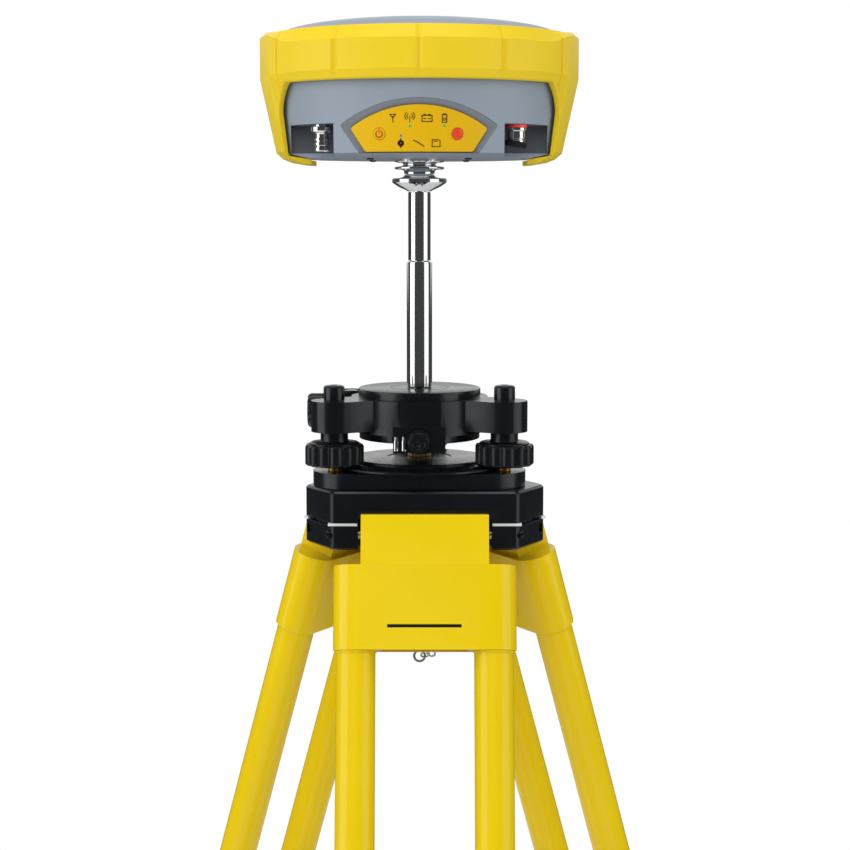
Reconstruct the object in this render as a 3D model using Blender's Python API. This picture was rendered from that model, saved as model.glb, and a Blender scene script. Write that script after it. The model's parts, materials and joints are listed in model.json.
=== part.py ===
"""Satellite positioning receiver on a carrier rod, a tribrach and a twin-tube tripod.

Metres, +Z up, +X to the right of the operator, who stands on the -Y side.
The floor is z = 0 and the middle of the footprint is the origin. The tripod
stands on one leg in front and two behind, so its vertical axis lies a little
behind the middle of the footprint. The instrument is clamped 3.4 mm left of
that axis, within the play that the head's hole gives the centring screw.
"""
import math

import bmesh
import bpy
from mathutils import Matrix, Vector

MM = 0.001
GAP = 0.3 * MM                      # clearance between pieces that touch

# ---- tripod -------------------------------------------------------------
SPLAY = math.radians(17.0)          # each leg's angle from the vertical
LEG_LENGTH = 1.100                  # hinge pin to the middle of the foot pad
HINGE_RADIUS = 50.0 * MM            # hinge pin's distance from the vertical axis
HINGE_DROP = 27.0 * MM              # hinge pin below the head's top plane
PAD_RADIUS = 18.0 * MM
LEG_TURNS = (0.0, math.radians(120.0), math.radians(-120.0))

HINGE_Z = LEG_LENGTH * math.cos(SPLAY)
HEAD_TOP = HINGE_Z + HINGE_DROP
FOOT_RADIUS = HINGE_RADIUS + LEG_LENGTH * math.sin(SPLAY)
AXIS_Y = FOOT_RADIUS / 4.0          # puts the footprint's middle on y = 0
AXIS = Vector((0.0, AXIS_Y, HEAD_TOP))      # the tripod's own axis, at the head's top
OFF_CENTRE = -3.4 * MM              # the instrument is clamped a little to the left
INSTRUMENT = AXIS + Vector((OFF_CENTRE, 0.0, 0.0))

HEAD_WIDTH = 149.5 * MM             # between the outer ends of the two front corners
HEAD_CORNER = 36.0 * MM             # flat that cuts each corner of the triangle
HEAD_EDGE = 5.0 * MM                # rounding of the outline's six edges
HEAD_BEVEL = 1.4 * MM
UPPER_FLANGE = 19.4 * MM
FLANGE_NECK = 2.0 * MM
LOWER_FLANGE = 14.8 * MM
HEAD_UNDERSIDE = -UPPER_FLANGE - FLANGE_NECK - LOWER_FLANGE
HEAD_WAIST = 3.0 * MM               # how far the waist stands back
HEAD_HOLE = 15.0 * MM               # radius of the centring screw's hole
NOTCH_BACK = -38.0 * MM
NOTCH_MARGIN = 2.0 * MM             # beside each leg bracket's neck
NECK_WIDTH = 77.4 * MM              # leg bracket where the pin passes
NECK_RADIUS = 9.5 * MM
PIN_RADIUS = 2.6 * MM
PIN_REACH = 48.5 * MM               # half of the pin's length
SCREW_RADIUS = 7.0 * MM             # centring screw's thread
SCREW_TOP = 8.0 * MM
HOOK_Z = -115.0 * MM                # plumb line ring under the centring screw
HOOK_RADIUS = 3.5 * MM
HOOK_WIRE = 0.8 * MM
PLATE_BACK = -8.4 * MM              # rear face of each leg bracket's neck plate

TUBE_SPACING = 83.4 * MM            # between the middles of a leg's twin tubes
TUBE_RADIUS = 11.9 * MM
TUBE_BORE = 10.2 * MM
BRACKET_WIDTH = 111.0 * MM
BRACKET_DEPTH = BRACKET_WIDTH - TUBE_SPACING
BRACKET_TOP = 19.4 * MM             # along the leg, measured from the pin
BRACKET_BOTTOM = 70.5 * MM
BRACKET_WALL = 3.3 * MM
POCKET_HALF = 26.0 * MM             # hollow between the tubes, open below
SLOT_MIDDLE = 56.4 * MM
SLOT_ENDS = (-22.5 * MM, 22.0 * MM)
NECK_TOP = 11.3 * MM                # above the pin
TUBE_TOP = 36.0 * MM
CLAMP_TOP = 700.0 * MM
CLAMP_BOTTOM = 755.0 * MM
TUBE_END = 735.0 * MM
BAR_WIDTH = 36.0 * MM               # extension leg
BAR_DEPTH = 16.0 * MM
BAR_TOP = 300.0 * MM
BAR_END = 1050.0 * MM
GUIDE_HEIGHT = 30.0 * MM
FOOT_TOP = 1000.0 * MM
FOOT_END = 1085.0 * MM
CLAMP_SCREW = 727.0 * MM
CLAMP_SCREW_RADIUS = 4.0 * MM

# ---- tribrach, heights above the head's top plane -----------------------
PLATE_WIDTH = 132.5 * MM
PLATE_CORNER = 25.0 * MM
PLATE_TOP = 9.6 * MM
SCREW_RING = 60.6 * MM              # foot screws' distance from the axis
SCREW_ANGLES = tuple(math.radians(a) for a in (-150.0, -30.0, 90.0))
KNOB_RADIUS = 18.5 * MM
KNOB_LOBES = 13
KNOB_BOTTOM = 13.3 * MM
KNOB_TOP = 28.0 * MM
ARM_BOTTOM = 34.3 * MM
ARM_TOP = 53.4 * MM
ARM_RADIUS = 14.25 * MM
RING_RADIUS = 43.0 * MM
RING_BOTTOM = 32.0 * MM
RING_TOP = 53.3 * MM
SPINDLE_RADIUS = 4.25 * MM
SPINDLE_LOW = 7.0 * MM
SPINDLE_TOP = 48.0 * MM
LEVEL_PLACE = (-44.3 * MM, 28.1 * MM)   # circular level, left and behind
LEVEL_RADIUS = 9.0 * MM
LEVEL_SEAT = 47.8 * MM              # top of the level's boss
LOCK_Y = 8.0 * MM
LOCK_Z = 43.0 * MM
LOCK_FACE = 56.0 * MM               # outer end of the clamp's boss
EYEPIECE_Z = 30.0 * MM
BLOCK_FRONT = 43.5 * MM             # plummet block's face, in front of the axis

# ---- carrier and rods ---------------------------------------------------
CARRIER_RADIUS = 38.5 * MM
STUB_RADIUS = 12.0 * MM             # the carrier's stub inside the tribrach
STUB_LOW = 36.0 * MM
CARRIER_BOTTOM = RING_TOP + 0.5 * MM
CARRIER_TOP = 58.6 * MM
LOWER_ROD_RADIUS = 8.0 * MM
LOWER_ROD_TOP = 138.0 * MM
UPPER_ROD_RADIUS = 7.0 * MM
UPPER_ROD_TOP = 181.0 * MM
FOOT_STUD = 5.0 * MM                # radius of the lower rod's stud in the carrier
ROD_STUD = 4.0 * MM                 # radius of the upper rod's studs
ADAPTER_TOP = 200.9 * MM

# ---- receiver -----------------------------------------------------------
FLOOR = 201.2 * MM                  # underside of the housing
FLOOR_RADIUS = 74.0 * MM
HOUSING_TOP = 245.0 * MM
SIDE_LOW = 203.2 * MM               # height where the side wall begins
SIDE_LOW_RADIUS = 83.9 * MM
SIDE_TOP_RADIUS = 89.7 * MM
RADOME_RADIUS = 90.0 * MM
RADOME_RIM = 273.8 * MM
RADOME_TOP = 286.0 * MM
WALL = 3.0 * MM
WING_ANGLE = math.radians(22.5)     # half of each side wing, about the X axis
WING_EDGE = math.radians(23.5)      # where the wing's foot has ended
WING_STEP = math.radians(24.3)      # where its upright edge begins to curve
WING_CORNER = math.radians(34.0)    # where the curved edge meets the plain band
WING_BLEND = math.radians(37.0)     # where the raised face has sunk to the plain band's
CREST_BLEND = math.radians(4.0)     # where the raised top edge begins to sink
STEP_SHARE = 0.50                   # how much of the wing is left where the curve begins
SOCKET_TOP = 220.4 * MM
SOCKET_INNER = 50.0 * MM
SOCKET_OUTER = 77.2 * MM
SOCKET_BACK = 31.0 * MM             # pocket's rear wall, in front of the axis
CONNECTOR_X = 57.5 * MM
CONNECTOR_Y = -56.0 * MM
CONNECTOR_LOW = 204.4 * MM
CAVITY_FLOOR = 236.0 * MM
CAVITY_RADIUS = 58.0 * MM
INSERT_RADIUS = 12.0 * MM
INSERT_TOP = 214.7 * MM
FACET_Y = 80.3 * MM                 # flat at the back for the battery door
DOOR_Y = 80.1 * MM                  # the door's outer face
DOOR_HALF = 31.0 * MM
DOOR_BOTTOM = 208.0 * MM
DOOR_TOP = 234.0 * MM
DOOR_THICK = 2.5 * MM
LATCH_TRAVEL = 2.5 * MM
BATTERY_LOW = (-27.0 * MM, 22.0 * MM, 211.2 * MM)
BATTERY_HIGH = (27.0 * MM, 77.0 * MM, 231.2 * MM)
PANEL = (39.4 * MM, 230.4 * MM, 12.8 * MM, 203.6 * MM, 31.3 * MM)
BEZEL = (45.4 * MM, 234.4 * MM, 14.8 * MM, 202.9 * MM, 35.0 * MM)
BEZEL_DEPTH = 3.0 * MM
PANEL_BACK = 2.7 * MM
PANEL_FRONT = 0.8 * MM
BUTTONS = (("power_button", -23.1 * MM), ("function_button", 22.5 * MM))
BUTTON_Z = 213.7 * MM
BUTTON_RADIUS = 3.4 * MM

# ---- colours: red, green, blue, roughness, metallic ---------------------
YELLOW_PAINT = (0.79, 0.58, 0.0, 0.28, 0.0)
YELLOW_RUBBER = (0.83, 0.62, 0.03, 0.45, 0.0)
KEYPAD_YELLOW = (0.72, 0.44, 0.01, 0.4, 0.0)
GREY = (0.33, 0.37, 0.41, 0.45, 0.0)
BLACK = (0.010, 0.012, 0.014, 0.35, 0.2)
RUBBER = (0.02, 0.02, 0.02, 0.7, 0.0)
CHROME = (0.78, 0.79, 0.80, 0.12, 1.0)
STEEL = (0.55, 0.56, 0.57, 0.3, 1.0)
BRASS = (0.72, 0.48, 0.18, 0.3, 1.0)
ALUMINIUM = (0.62, 0.63, 0.64, 0.4, 1.0)
RED = (0.75, 0.06, 0.02, 0.4, 0.0)
GREEN = (0.03, 0.20, 0.08, 0.5, 0.0)
CERAMIC = (0.75, 0.70, 0.60, 0.5, 0.0)


# ---- mesh tools -----------------------------------------------------------
def closed(bm):
    """Turn every face outwards and give the mesh back."""
    bmesh.ops.recalc_face_normals(bm, faces=bm.faces[:])
    return bm


def bridge(bm, loop_a, loop_b):
    """Faces between two rings of vertices; a ring of one vertex is a tip."""
    count = max(len(loop_a), len(loop_b))
    for i in range(count):
        j = (i + 1) % count
        if len(loop_a) == 1:
            bm.faces.new((loop_a[0], loop_b[i], loop_b[j]))
        elif len(loop_b) == 1:
            bm.faces.new((loop_a[i], loop_b[0], loop_a[j]))
        else:
            bm.faces.new((loop_a[i], loop_b[i], loop_b[j], loop_a[j]))


def lathe(profile, segments=32, ring=False):
    """Turn (radius, height) points about the Z axis; a ring's profile closes on itself."""
    bm = bmesh.new()
    loops = []
    for radius, height in profile:
        if radius < 1e-7:
            loops.append([bm.verts.new((0.0, 0.0, height))])
            continue
        angles = [2.0 * math.pi * i / segments for i in range(segments)]
        loops.append([bm.verts.new((radius * math.cos(a), radius * math.sin(a), height)) for a in angles])
    for first, second in zip(loops, loops[1:]):
        bridge(bm, first, second)
    if ring:
        bridge(bm, loops[-1], loops[0])
    else:
        for loop in (loops[0], loops[-1]):
            if len(loop) > 1:
                bm.faces.new(loop)
    return closed(bm)


def rod(radius, low, high, segments=24):
    """A plain cylinder on the Z axis."""
    return lathe([(radius, low), (radius, high)], segments)


def prism(outline, low, high):
    """Extrude a flat outline, a list of (x, y), along Z."""
    bm = bmesh.new()
    bottom = [bm.verts.new((x, y, low)) for x, y in outline]
    top = [bm.verts.new((x, y, high)) for x, y in outline]
    bridge(bm, bottom, top)
    bm.faces.new(bottom)
    bm.faces.new(top)
    return closed(bm)


def stacked(layers):
    """A solid through (outline, height) layers whose outlines match point for point."""
    bm = bmesh.new()
    rings = [[bm.verts.new((x, y, height)) for x, y in outline] for outline, height in layers]
    for first, second in zip(rings, rings[1:]):
        bridge(bm, first, second)
    bm.faces.new(rings[0])
    bm.faces.new(rings[-1])
    return closed(bm)


def box(low, high):
    """A block between two corners."""
    outline = [(low[0], low[1]), (high[0], low[1]), (high[0], high[1]), (low[0], high[1])]
    return prism(outline, low[2], high[2])


def arc(centre, radius, start, end, steps):
    """Points on an arc, both ends included."""
    angles = [start + (end - start) * i / steps for i in range(steps + 1)]
    return [(centre[0] + radius * math.cos(a), centre[1] + radius * math.sin(a)) for a in angles]


def rounded_triangle(width, corner, steps=5):
    """An equilateral triangle with round corners and one flat side facing -Y."""
    reach = (width / 2.0 - corner) / math.cos(math.radians(30.0))
    outline = []
    for middle in (math.radians(-150.0), math.radians(-30.0), math.radians(90.0)):
        centre = (reach * math.cos(middle), reach * math.sin(middle))
        outline += arc(centre, corner, middle - math.pi / 3.0, middle + math.pi / 3.0, steps)
    return outline


def stadium(half_length, radius, steps=8):
    """A slot shape along X: two half circles joined by straight sides."""
    right = arc((half_length, 0.0), radius, -math.pi / 2.0, math.pi / 2.0, steps)
    left = arc((-half_length, 0.0), radius, math.pi / 2.0, 1.5 * math.pi, steps)
    return right + left


def moved(bm, matrix):
    """Place a mesh with a matrix and give it back."""
    bmesh.ops.transform(bm, matrix=matrix, verts=bm.verts[:])
    return bm


def shift(x=0.0, y=0.0, z=0.0):
    return Matrix.Translation((x, y, z))


ALONG_X = Matrix.Rotation(math.pi / 2.0, 4, "Y")     # turned shapes laid along +X
ALONG_FRONT = Matrix.Rotation(math.pi / 2.0, 4, "X")  # turned shapes laid along -Y
PROFILE_ALONG_X = Matrix(((0, 0, 1, 0), (1, 0, 0, 0), (0, 1, 0, 0), (0, 0, 0, 1)))  # a (y, z) outline


def scratch(bm):
    """A temporary object that holds a mesh for a Boolean."""
    mesh = bpy.data.meshes.new("scratch")
    bm.to_mesh(mesh)
    bm.free()
    thing = bpy.data.objects.new("scratch", mesh)
    bpy.context.scene.collection.objects.link(thing)
    return thing


def joined(base, steps):
    """Unite meshes with, or cut them from, a base mesh; steps are (operation, mesh)."""
    body = scratch(base)
    tools = []
    for operation, bm in steps:
        tool = scratch(bm)
        modifier = body.modifiers.new("step", "BOOLEAN")
        modifier.operation = operation
        modifier.object = tool
        tools.append(tool)
    bpy.context.view_layer.update()
    result = bmesh.new()
    result.from_object(body, bpy.context.evaluated_depsgraph_get())
    for thing in [body] + tools:
        mesh = thing.data
        bpy.data.objects.remove(thing)
        bpy.data.meshes.remove(mesh)
    bmesh.ops.remove_doubles(result, verts=result.verts[:], dist=1e-6)
    bmesh.ops.dissolve_limit(result, angle_limit=1e-4, verts=result.verts[:], edges=result.edges[:])
    return closed(result)


def paint(name, finish):
    """One plain material for a node."""
    red, green, blue, roughness, metallic = finish
    material = bpy.data.materials.new(name)
    material.use_nodes = True
    shader = material.node_tree.nodes["Principled BSDF"]
    shader.inputs["Base Color"].default_value = (red, green, blue, 1.0)
    shader.inputs["Roughness"].default_value = roughness
    shader.inputs["Metallic"].default_value = metallic
    material.diffuse_color = (red, green, blue, 1.0)
    return material


def node(name, bm, finish, pivot):
    """Make a named object of a mesh given in world coordinates, with its origin at pivot."""
    pivot = Vector(pivot)
    moved(bm, Matrix.Translation(-pivot))
    mesh = bpy.data.meshes.new(name)
    bm.to_mesh(mesh)
    bm.free()
    mesh.shade_smooth()
    mesh.set_sharp_from_angle(angle=math.radians(35.0))
    mesh.materials.append(paint(name, finish))
    thing = bpy.data.objects.new(name, mesh)
    thing.location = pivot
    bpy.context.scene.collection.objects.link(thing)
    return thing


def on_axis(bm):
    """Lift a mesh from the instrument's own coordinates to its place on the head."""
    return moved(bm, Matrix.Translation(INSTRUMENT))


# ---- tripod -----------------------------------------------------------------
def turn_frame(index):
    """The tripod's axis, turned so that -Y points along one leg."""
    return Matrix.Translation(AXIS) @ Matrix.Rotation(LEG_TURNS[index], 4, "Z")


def hinge_frame(index):
    """The leg's hinge pin: X along the pin, -Y outwards."""
    return turn_frame(index) @ shift(0.0, -HINGE_RADIUS, -HINGE_DROP)


def leg_frame(index):
    """The leaning leg: X along the pin, -Y outwards, -Z down the leg."""
    return hinge_frame(index) @ Matrix.Rotation(-SPLAY, 4, "X")


def cut_triangle(width, cut, rounding, inset=0.0, steps=3):
    """An equilateral triangle with its corners cut flat and one long side facing -Y."""
    whole = (width + cut) / (2.0 * math.sqrt(3.0))
    long_side = whole - inset
    short_side = 2.0 * whole - cut * math.cos(math.radians(30.0)) - inset
    turn = math.pi / 3.0
    outline = []
    for i in range(6):
        near, far = (long_side, short_side) if i % 2 == 0 else (short_side, long_side)
        normal = turn * i - math.pi / 2.0
        first = near - rounding
        second = (far - rounding - first * math.cos(turn)) / math.sin(turn)
        centre = (first * math.cos(normal) - second * math.sin(normal),
                  first * math.sin(normal) + second * math.cos(normal))
        outline += arc(centre, rounding, normal, normal + turn, steps)
    return outline


def tripod_head():
    """Two flanges on a waist; the lower one is notched and bored for the leg hinges."""
    edge = cut_triangle(HEAD_WIDTH, HEAD_CORNER, HEAD_EDGE)
    bevel = cut_triangle(HEAD_WIDTH, HEAD_CORNER, HEAD_EDGE, HEAD_BEVEL)
    waist = cut_triangle(HEAD_WIDTH, HEAD_CORNER, HEAD_EDGE, HEAD_WAIST)
    low_top = -UPPER_FLANGE - FLANGE_NECK
    body = stacked([(edge, -UPPER_FLANGE), (edge, -HEAD_BEVEL), (bevel, 0.0)])
    lower = stacked([(bevel, HEAD_UNDERSIDE), (edge, HEAD_UNDERSIDE + HEAD_BEVEL), (edge, low_top)])
    steps = [("UNION", prism(waist, low_top - 1.0 * MM, -UPPER_FLANGE + 1.0 * MM)), ("UNION", lower)]
    notch_half = NECK_WIDTH / 2.0 + NOTCH_MARGIN
    notch_low = (-notch_half, -0.090, HEAD_UNDERSIDE - 0.005)
    notch_high = (notch_half, NOTCH_BACK, -HINGE_DROP + NECK_RADIUS + 2.0 * GAP)
    for turn in LEG_TURNS:
        around = Matrix.Rotation(turn, 4, "Z")
        at_pin = around @ shift(0.0, -HINGE_RADIUS, -HINGE_DROP)
        steps.append(("DIFFERENCE", moved(box(notch_low, notch_high), around)))
        bore = rod(PIN_RADIUS + GAP, -PIN_REACH - 0.03, PIN_REACH + 0.03, 16)
        steps.append(("DIFFERENCE", moved(bore, at_pin @ ALONG_X)))
    steps.append(("DIFFERENCE", rod(HEAD_HOLE, -0.06, 0.01, 24)))
    head = moved(joined(body, steps), Matrix.Translation(AXIS))
    node("tripod_head", head, BLACK, AXIS)


def centring_screw():
    """Clamps the tribrach from below and ends in a ring for a plumb line."""
    low = HEAD_UNDERSIDE - GAP
    profile = [(0.0, SCREW_TOP), (SCREW_RADIUS, SCREW_TOP), (SCREW_RADIUS, low), (28.0 * MM, low),
               (28.0 * MM, low - 4.0 * MM), (12.0 * MM, low - 6.0 * MM), (12.0 * MM, low - 20.0 * MM),
               (17.0 * MM, low - 22.0 * MM), (17.0 * MM, low - 52.0 * MM), (15.0 * MM, low - 55.0 * MM),
               (6.0 * MM, low - 58.0 * MM), (3.0 * MM, low - 72.0 * MM), (0.0, low - 72.0 * MM)]
    section = arc((HOOK_RADIUS, 0.0), HOOK_WIRE, 0.0, 2.0 * math.pi - math.pi / 3.0, 5)
    hook = moved(lathe(section, 18, ring=True), shift(z=HOOK_Z) @ ALONG_FRONT)
    shank = rod(1.1 * MM, HOOK_Z + HOOK_RADIUS - 0.5 * MM, low - 71.0 * MM, 10)
    body = joined(lathe(profile, 24), [("UNION", shank), ("UNION", hook)])
    node("centring_screw", on_axis(body), STEEL, INSTRUMENT)


def leg_bracket(index):
    """Pivots on the pin and holds the tops of the twin tubes."""
    half = NECK_WIDTH / 2.0
    face = BRACKET_DEPTH / 2.0
    barrel = moved(rod(NECK_RADIUS, -half, half, 20), ALONG_X)
    plate = [(PLATE_BACK, NECK_TOP), (3.0 * MM - face, NECK_TOP), (0.9 * MM - face, NECK_TOP - 0.9 * MM),
             (0.05 * MM - face, NECK_TOP - 3.0 * MM), (0.05 * MM - face, -BRACKET_TOP - 6.0 * MM),
             (PLATE_BACK, -BRACKET_TOP - 6.0 * MM)]
    web = box((-half, 1.5 * MM - face, -BRACKET_TOP - 5.0 * MM), (half, 10.0 * MM, 0.0))
    shell = prism(stadium(TUBE_SPACING / 2.0, face), -BRACKET_BOTTOM, -BRACKET_TOP)
    steps = [("UNION", moved(prism(plate, -half, half), PROFILE_ALONG_X)), ("UNION", web), ("UNION", shell)]
    for side in (-1.0, 1.0):
        seat = rod(TUBE_RADIUS + GAP, -BRACKET_BOTTOM - 0.01, -TUBE_TOP + GAP, 20)
        steps.append(("DIFFERENCE", moved(seat, shift(side * TUBE_SPACING / 2.0))))
    pocket = box((-POCKET_HALF, BRACKET_WALL - face, -BRACKET_BOTTOM - 0.01),
                 (POCKET_HALF, face - BRACKET_WALL, -TUBE_TOP))
    slot = box((SLOT_ENDS[0], -0.020, -SLOT_MIDDLE - 1.0 * MM),
               (SLOT_ENDS[1], -5.0 * MM, -SLOT_MIDDLE + 1.0 * MM))
    bore = moved(rod(PIN_RADIUS + GAP, -half - 0.01, half + 0.01, 16), ALONG_X)
    steps += [("DIFFERENCE", cutter) for cutter in (pocket, slot, bore)]
    frame = leg_frame(index)
    node(f"leg_bracket_{index + 1}", moved(joined(barrel, steps), frame), YELLOW_PAINT, frame.translation)


def hinge_pin(index):
    frame = hinge_frame(index)
    pin = moved(rod(PIN_RADIUS, -PIN_REACH, PIN_REACH, 16), frame @ ALONG_X)
    node(f"hinge_pin_{index + 1}", pin, STEEL, frame.translation)


def leg_tubes(index):
    frame = leg_frame(index)
    section = [(TUBE_BORE, -TUBE_END), (TUBE_RADIUS, -TUBE_END),
               (TUBE_RADIUS, -TUBE_TOP), (TUBE_BORE, -TUBE_TOP)]
    for side, word in ((-1.0, "left"), (1.0, "right")):
        tube = moved(lathe(section, 20, ring=True), frame @ shift(side * TUBE_SPACING / 2.0))
        node(f"leg_tube_{word}_{index + 1}", tube, YELLOW_PAINT, frame.translation)


def leg_clamp(index):
    """Joins the tubes' lower ends and grips the extension leg between them."""
    frame = leg_frame(index)
    body = prism(stadium(TUBE_SPACING / 2.0, BRACKET_DEPTH / 2.0), -CLAMP_BOTTOM, -CLAMP_TOP)
    half = (BAR_WIDTH / 2.0 + GAP, BAR_DEPTH / 2.0 + GAP)
    way = box((-half[0], -half[1], -CLAMP_BOTTOM - 0.01), (half[0], half[1], -CLAMP_TOP + 0.01))
    steps = [("DIFFERENCE", way)]
    for side in (-1.0, 1.0):
        seat = rod(TUBE_RADIUS + GAP, -TUBE_END - GAP, -CLAMP_TOP + 0.01, 20)
        steps.append(("DIFFERENCE", moved(seat, shift(side * TUBE_SPACING / 2.0))))
    hole = moved(rod(CLAMP_SCREW_RADIUS + GAP, 0.0, 0.03), shift(z=-CLAMP_SCREW) @ ALONG_FRONT)
    steps.append(("DIFFERENCE", hole))
    node(f"leg_clamp_{index + 1}", moved(joined(body, steps), frame), BLACK, frame.translation)


def clamp_screw(index):
    """A lobed knob on a short screw that presses on the extension leg."""
    frame = leg_frame(index) @ shift(z=-CLAMP_SCREW) @ ALONG_FRONT
    face = BRACKET_DEPTH / 2.0 + GAP
    knob = prism(lobed(14.0 * MM, 1.4 * MM, 6, 6), face + 3.0 * MM, face + 17.0 * MM)
    shank = rod(CLAMP_SCREW_RADIUS, BAR_DEPTH / 2.0 + 2.0 * GAP, face + 4.0 * MM, 16)
    collar = rod(9.0 * MM, face, face + 4.0 * MM, 24)
    body = joined(knob, [("UNION", collar), ("UNION", shank)])
    node(f"clamp_screw_{index + 1}", moved(body, frame), BLACK, frame.translation)


def extension_leg(index):
    frame = leg_frame(index)
    half = (BAR_WIDTH / 2.0, BAR_DEPTH / 2.0)
    bar = box((-half[0], -half[1], -BAR_END), (half[0], half[1], -BAR_TOP))
    guide_half = TUBE_SPACING / 2.0 - 1.0 * MM
    guide = box((-guide_half, -half[1], -BAR_TOP - GUIDE_HEIGHT), (guide_half, half[1], -BAR_TOP))
    steps = [("UNION", guide)]
    for side in (-1.0, 1.0):
        groove = rod(TUBE_RADIUS + GAP, -BAR_TOP - 0.05, -BAR_TOP + 0.01, 20)
        steps.append(("DIFFERENCE", moved(groove, shift(side * TUBE_SPACING / 2.0))))
    node(f"extension_leg_{index + 1}", moved(joined(bar, steps), frame), ALUMINIUM, frame.translation)


def foot(index):
    """A shoe on the extension leg with a step and a flat pad on the floor."""
    frame = leg_frame(index)
    half = (BAR_WIDTH / 2.0, BAR_DEPTH / 2.0)
    shoe = box((-half[0] - 4.0 * MM, -half[1] - 4.0 * MM, -FOOT_END),
               (half[0] + 4.0 * MM, half[1] + 4.0 * MM, -FOOT_TOP))
    step = box((-15.0 * MM, -30.0 * MM, -1036.0 * MM), (15.0 * MM, -8.0 * MM, -1030.0 * MM))
    seat = box((-half[0] - GAP, -half[1] - GAP, -BAR_END - GAP), (half[0] + GAP, half[1] + GAP, -0.98))
    body = joined(shoe, [("UNION", step), ("DIFFERENCE", seat)])
    moved(body, frame)
    pad_middle = turn_frame(index) @ Vector((0.0, -FOOT_RADIUS, -HEAD_TOP))
    pad = moved(rod(PAD_RADIUS, 0.0, 26.0 * MM, 32), Matrix.Translation((pad_middle.x, pad_middle.y, 0.0)))
    below = moved(box((-0.1, -0.1, -0.1), (0.1, 0.1, 4.0 * MM)),
                  Matrix.Translation((pad_middle.x, pad_middle.y, 0.0)))
    body = joined(body, [("DIFFERENCE", below)])
    node(f"foot_{index + 1}", joined(pad, [("UNION", body)]), STEEL, frame.translation)


# ---- tribrach ---------------------------------------------------------------
def lobed(radius, depth, lobes, steps=3):
    """A round knob's outline with shallow scallops."""
    count = lobes * steps
    outline = []
    for i in range(count):
        angle = 2.0 * math.pi * i / count
        wave = abs(math.cos(lobes * angle / 2.0))
        reach = radius - depth * (1.0 - wave)
        outline.append((reach * math.cos(angle), reach * math.sin(angle)))
    return outline


def screw_place(index):
    angle = SCREW_ANGLES[index]
    return shift(SCREW_RING * math.cos(angle), SCREW_RING * math.sin(angle))


def tribrach_base_plate():
    body = prism(rounded_triangle(PLATE_WIDTH, PLATE_CORNER), GAP, PLATE_TOP)
    steps = [("DIFFERENCE", rod(SCREW_RADIUS + GAP, -0.01, 0.03, 32))]
    for index in range(3):
        seat = moved(rod(SPINDLE_RADIUS + GAP, SPINDLE_LOW, 0.03, 16), screw_place(index))
        steps.append(("DIFFERENCE", seat))
    node("tribrach_base_plate", on_axis(joined(body, steps)), BLACK, INSTRUMENT)


def spring_plate():
    low = PLATE_TOP + GAP
    profile = [(20.0 * MM, low), (55.8 * MM, low), (55.8 * MM, low + 1.9 * MM),
               (41.5 * MM, low + 2.4 * MM), (41.5 * MM, low + 4.4 * MM), (20.0 * MM, low + 4.9 * MM)]
    node("spring_plate", on_axis(lathe(profile, 40, ring=True)), BLACK, INSTRUMENT)


def foot_screws():
    """Each foot screw is a knob and a spindle that turn as one, under a fixed cap."""
    for index in range(3):
        place = screw_place(index)
        pivot = INSTRUMENT + place.translation
        knob = prism(lobed(KNOB_RADIUS, 1.7 * MM, KNOB_LOBES), KNOB_BOTTOM, KNOB_TOP - 1.5 * MM)
        crown = rod(KNOB_RADIUS - 2.5 * MM, KNOB_TOP - 2.5 * MM, KNOB_TOP, 20)
        neck = rod(8.5 * MM, KNOB_TOP - 1.0 * MM, ARM_BOTTOM - GAP, 16)
        bore = rod(SPINDLE_RADIUS + GAP, 0.0, 0.05, 16)
        body = joined(knob, [("UNION", crown), ("UNION", neck), ("DIFFERENCE", bore)])
        node(f"foot_screw_knob_{index + 1}", on_axis(moved(body, place)), BLACK, pivot)
        spindle = rod(SPINDLE_RADIUS, SPINDLE_LOW + GAP, SPINDLE_TOP, 16)
        node(f"foot_screw_spindle_{index + 1}", on_axis(moved(spindle, place)), BRASS, pivot)
        low = ARM_TOP + GAP
        profile = [(6.5 * MM, low), (6.5 * MM, low + 8.0 * MM), (5.4 * MM, low + 9.1 * MM)]
        node(f"foot_screw_cap_{index + 1}", on_axis(moved(lathe(profile, 18), place)), BLACK, pivot)


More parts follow.
